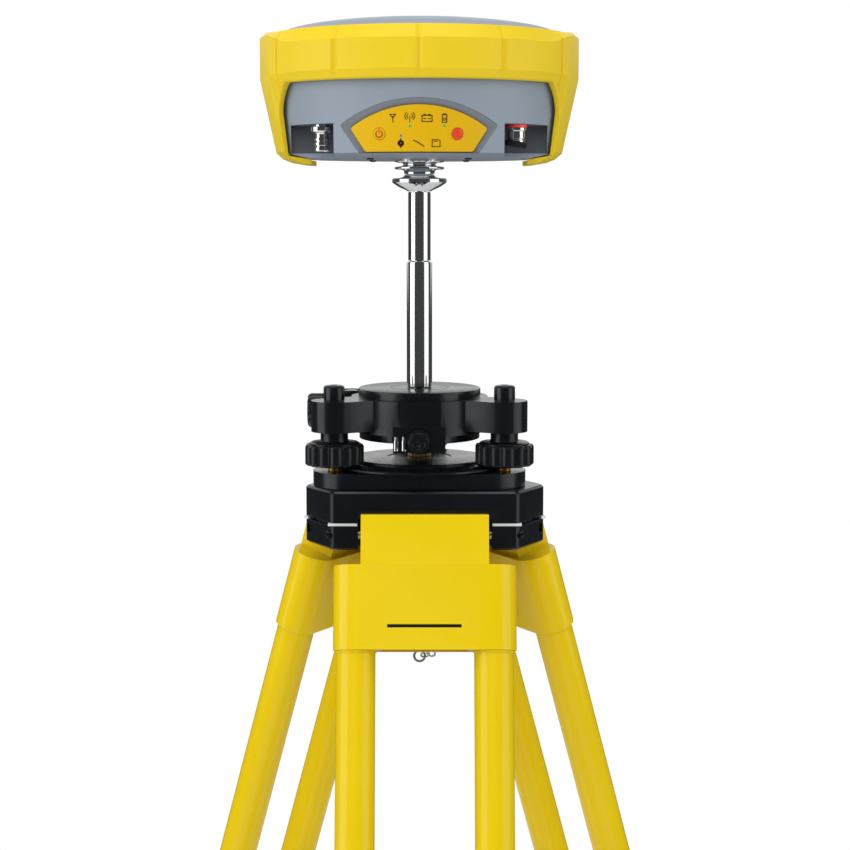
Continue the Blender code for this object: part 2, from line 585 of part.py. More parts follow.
def tribrach_body():
    """A ring with three arms, the plummet's block, a level boss and the clamp's boss."""
    ring = rod(RING_RADIUS, RING_BOTTOM, RING_TOP, 40)
    rim = rod(RING_RADIUS - 5.0 * MM, RING_BOTTOM - 5.0 * MM, RING_BOTTOM + 1.0 * MM, 40)
    steps = [("UNION", rim)]
    for angle in SCREW_ANGLES:
        outline = arc((SCREW_RING, 0.0), ARM_RADIUS, -math.pi / 2.0, math.pi / 2.0, 8)
        outline += [(20.0 * MM, ARM_RADIUS), (20.0 * MM, -ARM_RADIUS)]
        arm = moved(prism(outline, ARM_BOTTOM, ARM_TOP), Matrix.Rotation(angle, 4, "Z"))
        steps.append(("UNION", arm))
    block = box((-16.0 * MM, -BLOCK_FRONT, 22.5 * MM), (16.0 * MM, -24.0 * MM, 38.0 * MM))
    level_boss = moved(rod(LEVEL_RADIUS + 2.0 * MM, 38.0 * MM, LEVEL_SEAT, 20), shift(*LEVEL_PLACE))
    lock_boss = moved(rod(7.0 * MM, -LOCK_FACE, -30.0 * MM, 16), shift(y=LOCK_Y, z=LOCK_Z) @ ALONG_X)
    steps += [("UNION", block), ("UNION", level_boss), ("UNION", lock_boss)]
    steps.append(("DIFFERENCE", rod(CARRIER_RADIUS + 1.0 * MM, RING_TOP, 0.08, 40)))
    steps.append(("DIFFERENCE", rod(STUB_RADIUS + GAP, 0.0, 0.08, 24)))
    for index in range(3):
        seat = moved(rod(SPINDLE_RADIUS + GAP, 0.0, SPINDLE_TOP + GAP, 16), screw_place(index))
        steps.append(("DIFFERENCE", seat))
    node("tribrach_body", on_axis(joined(ring, steps)), BLACK, INSTRUMENT)


def tribrach_fittings():
    low = LEVEL_SEAT + GAP
    profile = [(LEVEL_RADIUS, low), (LEVEL_RADIUS, low + 5.0 * MM),
               (LEVEL_RADIUS - 1.2 * MM, low + 6.2 * MM)]
    level = moved(lathe(profile, 20), shift(*LEVEL_PLACE))
    node("circular_level", on_axis(level), BLACK, INSTRUMENT + Vector((*LEVEL_PLACE, 0.0)))

    outline = lobed(11.0 * MM, 0.9 * MM, 8)
    place = shift(y=LOCK_Y, z=LOCK_Z) @ ALONG_X
    knob = moved(prism(outline, -LOCK_FACE - 15.0 * MM, -LOCK_FACE - GAP), place)
    node("locking_knob", on_axis(knob), BLACK, INSTRUMENT + Vector((0.0, LOCK_Y, LOCK_Z)))

    front = BLOCK_FRONT + GAP
    profile = [(7.0 * MM, front), (7.0 * MM, front + 9.0 * MM), (6.0 * MM, front + 12.0 * MM),
               (3.5 * MM, front + 12.0 * MM), (2.5 * MM, front + 10.0 * MM), (0.0, front + 10.0 * MM)]
    eyepiece = moved(lathe(profile, 18), shift(z=EYEPIECE_Z) @ ALONG_FRONT)
    node("plummet_eyepiece", on_axis(eyepiece), BLACK, INSTRUMENT + Vector((0.0, 0.0, EYEPIECE_Z)))


# ---- carrier and rods ---------------------------------------------------------
def carrier_and_rods():
    low = CARRIER_BOTTOM
    top = CARRIER_TOP
    bore = FOOT_STUD + GAP
    profile = [(0.0, STUB_LOW), (STUB_RADIUS, STUB_LOW), (STUB_RADIUS, low), (CARRIER_RADIUS, low),
               (CARRIER_RADIUS, top - 1.0 * MM), (CARRIER_RADIUS - 1.0 * MM, top),
               (bore, top), (bore, top - 9.0 * MM), (0.0, top - 9.0 * MM)]
    node("carrier_plate", on_axis(lathe(profile, 40)), BLACK, INSTRUMENT)

    foot_level = top + GAP
    joint = LOWER_ROD_TOP
    bore = ROD_STUD + GAP
    profile = [(0.0, top - 8.0 * MM), (FOOT_STUD, top - 8.0 * MM), (FOOT_STUD, foot_level),
               (LOWER_ROD_RADIUS, foot_level), (LOWER_ROD_RADIUS, joint - 1.0 * MM),
               (LOWER_ROD_RADIUS - 0.8 * MM, joint), (bore, joint),
               (bore, joint - 18.0 * MM), (0.0, joint - 18.0 * MM)]
    node("lower_rod", on_axis(lathe(profile, 24)), CHROME, INSTRUMENT)

    top = UPPER_ROD_TOP
    profile = [(0.0, joint - 17.0 * MM), (ROD_STUD, joint - 17.0 * MM), (ROD_STUD, joint + GAP),
               (UPPER_ROD_RADIUS, joint + GAP), (UPPER_ROD_RADIUS, top), (ROD_STUD, top),
               (ROD_STUD, top + 6.0 * MM), (0.0, top + 6.0 * MM)]
    node("upper_rod", on_axis(lathe(profile, 24)), CHROME, INSTRUMENT)

    low = top + GAP
    profile = [(0.0, low + 6.5 * MM), (bore, low + 6.5 * MM), (bore, low), (7.6 * MM, low),
               (13.0 * MM, 184.0 * MM), (17.0 * MM, 186.5 * MM), (17.0 * MM, 189.3 * MM),
               (9.5 * MM, 190.6 * MM), (9.5 * MM, 194.0 * MM), (15.5 * MM, 194.8 * MM),
               (15.5 * MM, 196.2 * MM), (10.0 * MM, 197.2 * MM), (10.0 * MM, 198.6 * MM),
               (15.5 * MM, 199.4 * MM), (15.5 * MM, ADAPTER_TOP), (7.9 * MM, ADAPTER_TOP),
               (7.9 * MM, 212.0 * MM), (0.0, 212.0 * MM)]
    node("quick_release_adapter", on_axis(lathe(profile, 24)), CHROME, INSTRUMENT)


# ---- receiver -------------------------------------------------------------------
def side_slope():
    """How much the side wall's radius grows with height."""
    return (SIDE_TOP_RADIUS - SIDE_LOW_RADIUS) / (HOUSING_TOP - SIDE_LOW)


def side_radius(height):
    return SIDE_LOW_RADIUS + (height - SIDE_LOW) * side_slope()


def wall_point(x, height, inset):
    """A point of the front wall, or a little inside it, straight behind x."""
    radius = side_radius(height) - inset
    return (x, -math.sqrt(radius * radius - x * x), height)


def wall_frame(x, height):
    """A frame on the front wall, with Z along the wall's outward normal."""
    place = Vector(wall_point(x, height, 0.0))
    normal = Vector((place.x, place.y, -side_slope() * side_radius(height))).normalized()
    across = Vector((0.0, 0.0, 1.0)).cross(normal).normalized()
    up = normal.cross(across)
    axes = Matrix((across, up, normal)).transposed().to_4x4()
    return Matrix.Translation(place) @ axes


def panel_edges(shape, x):
    """Lower and upper edge of an arched panel at x."""
    half, apex, rise, low, straight = shape
    radius = (half * half + rise * rise) / (2.0 * rise)
    upper = apex - radius + math.sqrt(radius * radius - x * x)
    lower = low + max(0.0, abs(x) - straight) * (apex - rise - low) / (half - straight) * 0.9
    return lower, upper


def wall_panel(shape, back, front, columns=14):
    """An arched plate that follows the front wall between two insets."""
    half = shape[0]
    bm = bmesh.new()
    rings = []
    for i in range(columns + 1):
        x = half * math.sin(math.pi * (i / columns - 0.5))
        low, high = panel_edges(shape, x)
        corners = [(low, back), (high, back), (high, front), (low, front)]
        rings.append([bm.verts.new(wall_point(x, height, inset)) for height, inset in corners])
    for first, second in zip(rings, rings[1:]):
        bridge(bm, first, second)
    bm.faces.new(rings[0])
    bm.faces.new(rings[-1])
    bmesh.ops.triangulate(bm, faces=bm.faces[:])
    return closed(bm)


def lower_housing():
    profile = [(0.0, FLOOR), (FLOOR_RADIUS, FLOOR), (SIDE_LOW_RADIUS, SIDE_LOW),
               (SIDE_TOP_RADIUS, HOUSING_TOP), (CAVITY_RADIUS, HOUSING_TOP),
               (CAVITY_RADIUS, CAVITY_FLOOR), (0.0, CAVITY_FLOOR)]
    steps = [("DIFFERENCE", wall_panel(BEZEL, BEZEL_DEPTH, -4.0 * MM))]
    for low, high in ((-SOCKET_OUTER, -SOCKET_INNER), (SOCKET_INNER, SOCKET_OUTER)):
        pocket = box((low, -0.12, 0.19), (high, -SOCKET_BACK, SOCKET_TOP))
        steps.append(("DIFFERENCE", pocket))
    facet = box((-36.0 * MM, FACET_Y, FLOOR - 0.01), (36.0 * MM, 0.12, 237.0 * MM))
    recess = box((-DOOR_HALF - GAP, DOOR_Y - DOOR_THICK - GAP, DOOR_BOTTOM - GAP),
                 (DOOR_HALF + GAP, 0.12, DOOR_TOP + GAP))
    bay = box(tuple(value - GAP for value in BATTERY_LOW),
              (BATTERY_HIGH[0] + GAP, 0.12, BATTERY_HIGH[2] + GAP))
    insert = rod(INSERT_RADIUS + GAP, 0.19, INSERT_TOP + GAP, 24)
    steps += [("DIFFERENCE", cutter) for cutter in (facet, recess, bay, insert)]
    node("lower_housing", on_axis(joined(lathe(profile, 64), steps)), GREY, INSTRUMENT)


def radome_cover():
    rim = HOUSING_TOP + 1.6 * MM
    steps = 5
    outer = []
    inner = []
    for i in range(steps + 1):
        angle = math.pi / 2.0 * i / steps
        rise = RADOME_TOP - RADOME_RIM
        outer.append((RADOME_RADIUS * math.sin(angle), RADOME_RIM + rise * math.cos(angle)))
        inner.append(((RADOME_RADIUS - WALL) * math.sin(angle), RADOME_RIM - WALL + rise * math.cos(angle)))
    profile = outer + [(RADOME_RADIUS, rim), (RADOME_RADIUS - WALL, rim)] + inner[::-1]
    node("radome_cover", on_axis(lathe(profile, 48)), GREY, INSTRUMENT)


# (radius, height) points around the bumper's section, in millimetres. Four of them shape its
# top: on the plain band and on a side wing. Eight shape its bottom: on the plain band, at a
# wing's upright edge, and on the wing itself, where a foot turns in under the housing.
BAND_TOP = ((91.5, 274.4), (93.5, 275.7), (98.3, 267.8), (98.3, 250.3))
WING_TOP = ((91.5, 276.4), (94.5, 277.8), (98.3, 273.8), (98.3, 249.3))
BAND_LOW = ((96.5, 245.9), (96.0, 245.4), (95.5, 245.1), (94.8, 244.9),
            (94.0, 244.8), (93.2, 244.8), (92.3, 244.9), (91.5, 245.2))
EDGE_LOW = ((89.2, 206.5), (88.4, 203.4), (87.7, 202.5), (87.2, 202.4),
            (86.7, 202.4), (86.4, 203.0), (86.3, 204.8), (91.5, 245.2))
WING_LOW = ((88.6, 204.6), (84.5, 200.9), (79.0, 198.7), (71.0, 197.4),
            (71.0, 200.4), (84.2, 202.4), (86.1, 204.6), (91.5, 245.2))


def mixed(first, second, share):
    """A section part of the way from one to another."""
    return [(a[0] + (b[0] - a[0]) * share, a[1] + (b[1] - a[1]) * share) for a, b in zip(first, second)]


def falling(angle, start, end):
    """One up to the start angle, then evenly down to nothing at the end angle."""
    return min(1.0, max(0.0, (end - angle) / (end - start)))


def bumper_section(angle):
    """The section at an angle: a wing's foot ends first, then its upright edge curves up."""
    off_side = abs(math.remainder(angle, math.pi))
    crest = mixed(BAND_TOP[:2], WING_TOP[:2], falling(off_side, CREST_BLEND, WING_ANGLE))
    top = crest + mixed(BAND_TOP[2:], WING_TOP[2:], falling(off_side, WING_ANGLE, WING_BLEND))
    if off_side <= WING_EDGE:
        return top + mixed(EDGE_LOW, WING_LOW, falling(off_side, WING_ANGLE, WING_EDGE))
    if off_side <= WING_STEP:
        share = STEP_SHARE + (1.0 - STEP_SHARE) * falling(off_side, WING_EDGE, WING_STEP)
    else:
        left = falling(off_side, WING_STEP, WING_CORNER)
        share = STEP_SHARE * (1.0 - (1.0 - left) ** 0.6)
    return top + mixed(BAND_LOW, EDGE_LOW, share)


def protective_bumper():
    """A band around the receiver that runs down both sides and under them."""
    angles = [math.radians(5.0 * i) for i in range(72)]
    for side in (0.0, math.pi):
        for step in (CREST_BLEND, WING_ANGLE, WING_EDGE, WING_STEP, WING_STEP + math.radians(0.3)):
            angles += [(side + step) % (2.0 * math.pi), (side - step) % (2.0 * math.pi)]
    bm = bmesh.new()
    rings = []
    for angle in sorted(angles):
        section = bumper_section(angle)
        across = MM * math.cos(angle)
        along = MM * math.sin(angle)
        rings.append([bm.verts.new((r * across, r * along, MM * z)) for r, z in section])
    for i, ring in enumerate(rings):
        bridge(bm, ring, rings[(i + 1) % len(rings)])
    node("protective_bumper", on_axis(closed(bm)), YELLOW_RUBBER, INSTRUMENT)


def keypad():
    body = wall_panel(PANEL, PANEL_BACK, PANEL_FRONT)
    steps = []
    for name, x in BUTTONS:
        place = wall_frame(x, BUTTON_Z)
        hole = moved(rod(BUTTON_RADIUS + 0.4 * MM, -6.0 * MM, 6.0 * MM, 16), place)
        steps.append(("DIFFERENCE", hole))
        side = [(BUTTON_RADIUS, -2.3 * MM), (BUTTON_RADIUS, -0.5 * MM)]
        cap = lathe(side + [(BUTTON_RADIUS - 0.5 * MM, -0.1 * MM)], 16)
        finish = RED if name == "function_button" else KEYPAD_YELLOW
        node(name, on_axis(moved(cap, place)), finish, INSTRUMENT + place.translation)
    node("keypad_panel", on_axis(joined(body, steps)), KEYPAD_YELLOW, INSTRUMENT)


def connectors():
    top = SOCKET_TOP - GAP
    low = CONNECTOR_LOW
    screw_type = [(0.0, low + 6.0 * MM), (3.6 * MM, low + 6.0 * MM), (4.2 * MM, low), (5.0 * MM, low),
                  (5.5 * MM, low + 1.0 * MM), (5.5 * MM, top - 7.0 * MM), (4.7 * MM, top - 6.0 * MM),
                  (4.7 * MM, top - 4.0 * MM), (6.6 * MM, top - 3.4 * MM), (6.6 * MM, top)]
    plug_type = [(0.0, low + 7.0 * MM), (3.4 * MM, low + 7.0 * MM), (3.8 * MM, low + 2.0 * MM),
                 (5.2 * MM, low + 2.0 * MM), (5.4 * MM, low + 3.0 * MM), (5.4 * MM, top - 5.0 * MM),
                 (6.4 * MM, top - 4.6 * MM), (6.4 * MM, top)]
    for name, profile, side, finish in (("tnc_connector", screw_type, -1.0, CHROME),
                                        ("lemo_port", plug_type, 1.0, STEEL)):
        place = (side * CONNECTOR_X, CONNECTOR_Y, 0.0)
        body = moved(lathe(profile, 16), Matrix.Translation(place))
        node(name, on_axis(body), finish, INSTRUMENT + Vector(place))


def battery():
    node("battery_pack", on_axis(box(BATTERY_LOW, BATTERY_HIGH)), RUBBER, INSTRUMENT)
    inner = DOOR_Y - DOOR_THICK
    door = box((-DOOR_HALF, inner, DOOR_BOTTOM), (DOOR_HALF, DOOR_Y, DOOR_TOP))
    notch_low = DOOR_TOP - 10.0 * MM
    notch = box((-6.3 * MM, inner - 0.01, notch_low), (6.3 * MM, DOOR_Y + 0.01, DOOR_TOP + 0.01))
    hinge = INSTRUMENT + Vector((0.0, DOOR_Y, DOOR_BOTTOM))
    node("battery_door", on_axis(joined(door, [("DIFFERENCE", notch)])), GREY, hinge)
    slide_low = notch_low + LATCH_TRAVEL + GAP
    slide = box((-6.0 * MM, inner + GAP, slide_low), (6.0 * MM, DOOR_Y - GAP, DOOR_TOP - GAP))
    node("battery_door_latch", on_axis(slide), BLACK, INSTRUMENT + Vector((0.0, DOOR_Y, slide_low)))


def inner_pieces():
    low = FLOOR + GAP
    sleeve = [(8.2 * MM, low), (INSERT_RADIUS, low), (INSERT_RADIUS, INSERT_TOP), (8.2 * MM, INSERT_TOP)]
    node("thread_insert", on_axis(lathe(sleeve, 24, ring=True)), BRASS, INSTRUMENT)

    low = CAVITY_FLOOR + GAP
    board = [(0.0, low), (56.0 * MM, low), (56.0 * MM, low + 1.7 * MM), (10.0 * MM, low + 1.7 * MM),
             (10.0 * MM, low + 3.4 * MM), (0.0, low + 3.4 * MM)]
    node("main_board", on_axis(lathe(board, 24)), GREEN, INSTRUMENT)

    low = low + 3.4 * MM + GAP
    plane = rod(50.0 * MM, low, low + 1.6 * MM, 24)
    patch = box((-35.0 * MM, -35.0 * MM, low + 1.0 * MM), (35.0 * MM, 35.0 * MM, low + 8.0 * MM))
    node("antenna_element", on_axis(joined(plane, [("UNION", patch)])), CERAMIC, INSTRUMENT)

    low = HOUSING_TOP + GAP
    seal = [(62.0 * MM, low), (89.3 * MM, low), (89.3 * MM, low + 1.0 * MM), (62.0 * MM, low + 1.0 * MM)]
    node("housing_seal", on_axis(lathe(seal, 36, ring=True)), RUBBER, INSTRUMENT)


def main():
    for thing in list(bpy.data.objects):
        bpy.data.objects.remove(thing)
    tripod_head()
    centring_screw()
    for index in range(3):
        leg_bracket(index)
        hinge_pin(index)
        leg_tubes(index)
        leg_clamp(index)
        clamp_screw(index)
        extension_leg(index)
        foot(index)
    tribrach_base_plate()
    spring_plate()
    foot_screws()
    tribrach_body()
    tribrach_fittings()
    carrier_and_rods()
    lower_housing()
    radome_cover()
    protective_bumper()
    keypad()
    connectors()
    battery()
    inner_pieces()


main()
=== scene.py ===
"""Looks for the satellite receiver on its rod, tribrach and twin-tube tripod.

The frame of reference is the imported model's. Lengths are in metres; a number in millimetres
is multiplied by MM, or goes through above() or block(). Heights start at the tripod head's
top unless they say otherwise.
"""
import json
import math

import bmesh
import bpy
from mathutils import Matrix, Vector

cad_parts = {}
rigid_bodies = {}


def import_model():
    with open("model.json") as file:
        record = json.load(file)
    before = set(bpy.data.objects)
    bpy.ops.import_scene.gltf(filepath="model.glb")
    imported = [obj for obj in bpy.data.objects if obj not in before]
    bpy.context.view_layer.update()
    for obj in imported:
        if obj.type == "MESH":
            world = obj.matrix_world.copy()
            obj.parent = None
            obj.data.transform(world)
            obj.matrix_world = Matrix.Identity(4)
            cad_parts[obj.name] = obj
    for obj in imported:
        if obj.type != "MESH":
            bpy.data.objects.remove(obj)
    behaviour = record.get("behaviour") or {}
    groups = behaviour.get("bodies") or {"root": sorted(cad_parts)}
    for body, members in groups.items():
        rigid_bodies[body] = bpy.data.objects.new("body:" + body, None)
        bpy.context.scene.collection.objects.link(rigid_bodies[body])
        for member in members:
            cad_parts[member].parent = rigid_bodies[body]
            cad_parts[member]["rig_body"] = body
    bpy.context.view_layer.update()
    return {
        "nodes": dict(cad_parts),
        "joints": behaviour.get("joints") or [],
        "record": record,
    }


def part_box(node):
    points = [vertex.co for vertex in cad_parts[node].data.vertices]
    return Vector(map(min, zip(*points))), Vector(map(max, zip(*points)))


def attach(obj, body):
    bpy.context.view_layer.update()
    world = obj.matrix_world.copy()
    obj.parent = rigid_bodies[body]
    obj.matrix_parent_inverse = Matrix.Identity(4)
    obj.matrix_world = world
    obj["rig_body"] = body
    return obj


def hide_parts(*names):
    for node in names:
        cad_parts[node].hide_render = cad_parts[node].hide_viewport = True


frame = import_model()

MM = 0.001
JOINTS = {joint["name"]: joint for joint in frame["joints"]}
SLOTS = {part["node"]: part["material_slot"] for part in frame["record"]["subparts"]}
rod_low, rod_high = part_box("lower_rod")
AXIS = Vector(((rod_low.x + rod_high.x) / 2.0, (rod_low.y + rod_high.y) / 2.0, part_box("tripod_head")[1].z))

# ---- camera -----------------------------------------------------------------
CAMERA_DISTANCE = 1.17
CAMERA_ABOVE_HEAD = 0.174
CAMERA_RIGHT = 0.0035
CAMERA_PITCH = math.radians(6.8)
CAMERA_LENS = 78.8


def make_camera():
    data = bpy.data.cameras.new("camera")
    data.lens = CAMERA_LENS
    data.sensor_width = 36.0
    data.clip_start = 0.01
    camera = bpy.data.objects.new("camera", data)
    camera.location = AXIS + Vector((CAMERA_RIGHT, -CAMERA_DISTANCE, CAMERA_ABOVE_HEAD))
    camera.rotation_euler = (math.pi / 2.0 - CAMERA_PITCH, 0.0, 0.0)
    bpy.context.scene.collection.objects.link(camera)
    bpy.context.scene.camera = camera
    bpy.context.scene.view_settings.view_transform = "Standard"


make_camera()


# ---- materials ----------------------------------------------------------------
BROAD_NOISE = 14.0      # noise scales, per metre: colour, then roughness
MIDDLE_NOISE = 90.0
RELIEF_DEPTH = 0.0004
LAMP_STRENGTH = 0.12


def link_noise(tree, coords, scale, detail, stretch=None):
    """A noise texture on object coordinates, stretched along one axis for brushed metal."""
    noise = tree.nodes.new("ShaderNodeTexNoise")
    noise.inputs["Scale"].default_value = scale
    noise.inputs["Detail"].default_value = detail
    source = coords.outputs["Object"]
    if stretch:
        mapping = tree.nodes.new("ShaderNodeMapping")
        mapping.inputs["Scale"].default_value = stretch
        tree.links.new(source, mapping.inputs["Vector"])
        source = mapping.outputs["Vector"]
    tree.links.new(source, noise.inputs["Vector"])
    return noise


def surface(name, colour, roughness, metallic=0.0, mottle=0.05, grain=900.0, bump=0.04, coat=0.0,
            spread=0.08, stretch=None, shine=0.5):
    """A Principled material whose colour, roughness and relief vary over the surface."""
    material = bpy.data.materials.new(name)
    material.use_nodes = True
    tree = material.node_tree
    shader = tree.nodes["Principled BSDF"]
    shader.inputs["Metallic"].default_value = metallic
    shader.inputs["Specular IOR Level"].default_value = shine
    shader.inputs["Coat Weight"].default_value = coat
    shader.inputs["Coat Roughness"].default_value = 0.08
    coords = tree.nodes.new("ShaderNodeTexCoord")

    broad = link_noise(tree, coords, BROAD_NOISE, 4.0, stretch)
    ramp = tree.nodes.new("ShaderNodeValToRGB")
    ramp.color_ramp.elements[0].position = 0.3
    ramp.color_ramp.elements[1].position = 0.7
    darker = [channel * (1.0 - mottle) for channel in colour]
    lighter = [min(1.0, channel * (1.0 + mottle)) for channel in colour]
    ramp.color_ramp.elements[0].color = (*darker, 1.0)
    ramp.color_ramp.elements[1].color = (*lighter, 1.0)
    tree.links.new(broad.outputs["Fac"], ramp.inputs["Fac"])
    tree.links.new(ramp.outputs["Color"], shader.inputs["Base Color"])

    middle = link_noise(tree, coords, MIDDLE_NOISE, 3.0, stretch)
    levels = tree.nodes.new("ShaderNodeMapRange")
    levels.inputs["To Min"].default_value = max(0.02, roughness - spread)
    levels.inputs["To Max"].default_value = min(1.0, roughness + spread)
    tree.links.new(middle.outputs["Fac"], levels.inputs["Value"])
    tree.links.new(levels.outputs["Result"], shader.inputs["Roughness"])

    fine = link_noise(tree, coords, grain, 2.0, stretch)
    relief = tree.nodes.new("ShaderNodeBump")
    relief.inputs["Strength"].default_value = bump
    relief.inputs["Distance"].default_value = RELIEF_DEPTH
    tree.links.new(fine.outputs["Fac"], relief.inputs["Height"])
    tree.links.new(relief.outputs["Normal"], shader.inputs["Normal"])
    return material


def glowing(name, colour, strength):
    """A lamp's lens: coloured plastic with a faint light of its own."""
    material = surface(name, colour, 0.2, coat=0.6, mottle=0.1)
    shader = material.node_tree.nodes["Principled BSDF"]
    shader.inputs["Emission Color"].default_value = (*colour, 1.0)
    shader.inputs["Emission Strength"].default_value = strength
    return material


def glass(name, colour):
    material = surface(name, colour, 0.04, mottle=0.02, bump=0.01, spread=0.02)
    shader = material.node_tree.nodes["Principled BSDF"]
    shader.inputs["Transmission Weight"].default_value = 0.8
    shader.inputs["IOR"].default_value = 1.45
    return material


LATHE_MARKS = (1.0, 1.0, 40.0)      # the noise's scale along X, Y and Z on turned metal
DRAWN_MARKS = (1.0, 1.0, 0.05)      # and on drawn profiles
FINISHES = {
    "tripod_yellow_paint": ((0.80, 0.572, 0.0), 0.22, dict(mottle=0.02, grain=700.0, coat=0.12, shine=0.28)),
    "bumper_yellow_rubber": ((0.82, 0.595, 0.012), 0.45,
                             dict(mottle=0.03, grain=1600.0, bump=0.10, shine=0.3)),
    "keypad_yellow": ((0.76, 0.45, 0.001), 0.42, dict(mottle=0.03, grain=2200.0, bump=0.08, shine=0.22)),
    "housing_grey": ((0.275, 0.325, 0.39), 0.42, dict(mottle=0.04, grain=2000.0, bump=0.12, shine=0.4)),
    # painted shade: the darker grey of the slope in the keypad's recess
    "painted_recess_shade": ((0.19, 0.215, 0.25), 0.42, dict(mottle=0.04, grain=2000.0, bump=0.1, shine=0.4)),
    # painted shade: the dark grey of the sheets laid inside the receiver's side pockets
    "painted_pocket_shade": ((0.085, 0.095, 0.11), 0.5, dict(mottle=0.06, grain=2000.0, bump=0.1, shine=0.3)),
    "black_casting": ((0.004, 0.006, 0.008), 0.25,
                      dict(mottle=0.25, grain=1100.0, bump=0.08, coat=0.08, shine=0.42)),
    "black_plastic": ((0.004, 0.0055, 0.007), 0.28, dict(mottle=0.2, grain=1500.0, bump=0.08, shine=0.38)),
    # black rubber for the data socket's cap; also painted shade: the dark strips in the legs' slots
    "black_rubber": ((0.010, 0.010, 0.010), 0.7, dict(mottle=0.2, grain=1800.0, bump=0.2, shine=0.25)),
    "chrome": ((0.80, 0.81, 0.82), 0.09,
               dict(metallic=1.0, mottle=0.02, spread=0.02, bump=0.004, stretch=LATHE_MARKS)),
    "steel": ((0.56, 0.57, 0.58), 0.28, dict(metallic=1.0, mottle=0.06, bump=0.02, stretch=LATHE_MARKS)),
    "aluminium": ((0.62, 0.63, 0.65), 0.42, dict(metallic=0.6, bump=0.06, stretch=DRAWN_MARKS)),
    "brass": ((0.86, 0.64, 0.28), 0.34, dict(metallic=1.0, mottle=0.12, bump=0.05, stretch=LATHE_MARKS)),
    "red_button": ((0.80, 0.055, 0.012), 0.35, dict(mottle=0.06, bump=0.06, coat=0.2)),
    "pale_gap_strip": ((0.70, 0.73, 0.77), 0.35, dict(bump=0.02)),
    "board_green": ((0.02, 0.16, 0.06), 0.45, dict(mottle=0.25, bump=0.08)),
    "ceramic_patch": ((0.72, 0.68, 0.58), 0.5, dict(mottle=0.06, bump=0.1)),
    "print_dark": ((0.045, 0.032, 0.004), 0.5, dict(mottle=0.1, bump=0.02)),
    "print_red": ((0.75, 0.07, 0.01), 0.45, dict(mottle=0.08, bump=0.02)),
}
LAMPS = {"lamp_green": (0.06, 0.42, 0.05), "lamp_blue": (0.06, 0.26, 0.34)}
LENSES = {"level_glass": (0.80, 0.92, 0.45), "lens_glass": (0.04, 0.05, 0.07)}


def make_materials():
    made = {name: surface(name, colour, rough, **rest) for name, (colour, rough, rest) in FINISHES.items()}
    made.update({name: glowing(name, colour, LAMP_STRENGTH) for name, colour in LAMPS.items()})
    made.update({name: glass(name, colour) for name, colour in LENSES.items()})
    return made


MATERIALS = make_materials()


# ---- mesh tools -----------------------------------------------------------------
MERGE_DISTANCE = 2e-6


def above(level, points):
    """Profile points in millimetres, their heights measured from a level in metres."""
    return [(radius * MM, level + height * MM) for radius, height in points]


def bridge(bm, first, second):
    """Faces between two rings of vertices; a ring of one vertex is a tip."""
    count = max(len(first), len(second))
    for i in range(count):
        j = (i + 1) % count
        if len(first) == 1:
            bm.faces.new((first[0], second[i], second[j]))
        elif len(second) == 1:
            bm.faces.new((first[i], second[0], first[j]))
        else:
            bm.faces.new((first[i], second[i], second[j], first[j]))


def closed(bm):
    bmesh.ops.recalc_face_normals(bm, faces=bm.faces[:])
    return bm


def lathe(profile, segments=96, ring=False):
    """Turn (radius, height) points about the Z axis."""
    bm = bmesh.new()
    loops = []
    for radius, height in profile:
        if radius < 1e-7:
            loops.append([bm.verts.new((0.0, 0.0, height))])
            continue
        angles = [2.0 * math.pi * i / segments for i in range(segments)]
        loops.append([bm.verts.new((radius * math.cos(a), radius * math.sin(a), height)) for a in angles])
    for first, second in zip(loops, loops[1:]):
        bridge(bm, first, second)
    if ring:
        bridge(bm, loops[-1], loops[0])
    else:
        for loop in (loops[0], loops[-1]):
            if len(loop) > 1:
                bm.faces.new(loop)
    return closed(bm)


def prism(outline, low, high, bm=None):
    """Extrude a flat outline along Z, into a given mesh or a new one."""
    bm = bm or bmesh.new()
    bottom = [bm.verts.new((x, y, low)) for x, y in outline]
    top = [bm.verts.new((x, y, high)) for x, y in outline]
    bridge(bm, bottom, top)
    bm.faces.new(bottom)
    bm.faces.new(top)
    return closed(bm)


def circle(radius, steps, centre=(0.0, 0.0)):
    angles = [2.0 * math.pi * i / steps for i in range(steps)]
    return [(centre[0] + radius * math.cos(a), centre[1] + radius * math.sin(a)) for a in angles]


def rounded_box(half_x, half_y, corner, steps=5):
    """A rectangle's outline with round corners."""
    outline = []
    for sign_x, sign_y, start in ((1, -1, -90), (1, 1, 0), (-1, 1, 90), (-1, -1, 180)):
        for i in range(steps + 1):
            angle = math.radians(start + 90.0 * i / steps)
            x = sign_x * (half_x - corner) + corner * math.cos(angle)
            y = sign_y * (half_y - corner) + corner * math.sin(angle)
            outline.append((x, y))
    return outline


def piece(name, bm, slot, body, place=None, bevel=0.0, replaces=(), material=None, angle=32.0, segments=3):
    """Make a piece of a mesh, give it a material, and let it ride on a body."""
    if place is not None:
        bmesh.ops.transform(bm, matrix=place, verts=bm.verts[:])
    mesh = bpy.data.meshes.new(name)
    bm.to_mesh(mesh)
    bm.free()
    mesh.shade_smooth()
    mesh.set_sharp_from_angle(angle=math.radians(angle))
    mesh.materials.append(MATERIALS[material or slot])
    thing = bpy.data.objects.new(name, mesh)
    bpy.context.scene.collection.objects.link(thing)
    if bevel:
        modifier = thing.modifiers.new("edges", "BEVEL")
        modifier.width = bevel
        modifier.segments = segments
        modifier.limit_method = "ANGLE"
        modifier.angle_limit = math.radians(angle)
        modifier.harden_normals = True
    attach(thing, body)
    if replaces:
        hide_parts(*replaces)
    return thing


def body_of(node):
    return frame["nodes"][node]["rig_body"]


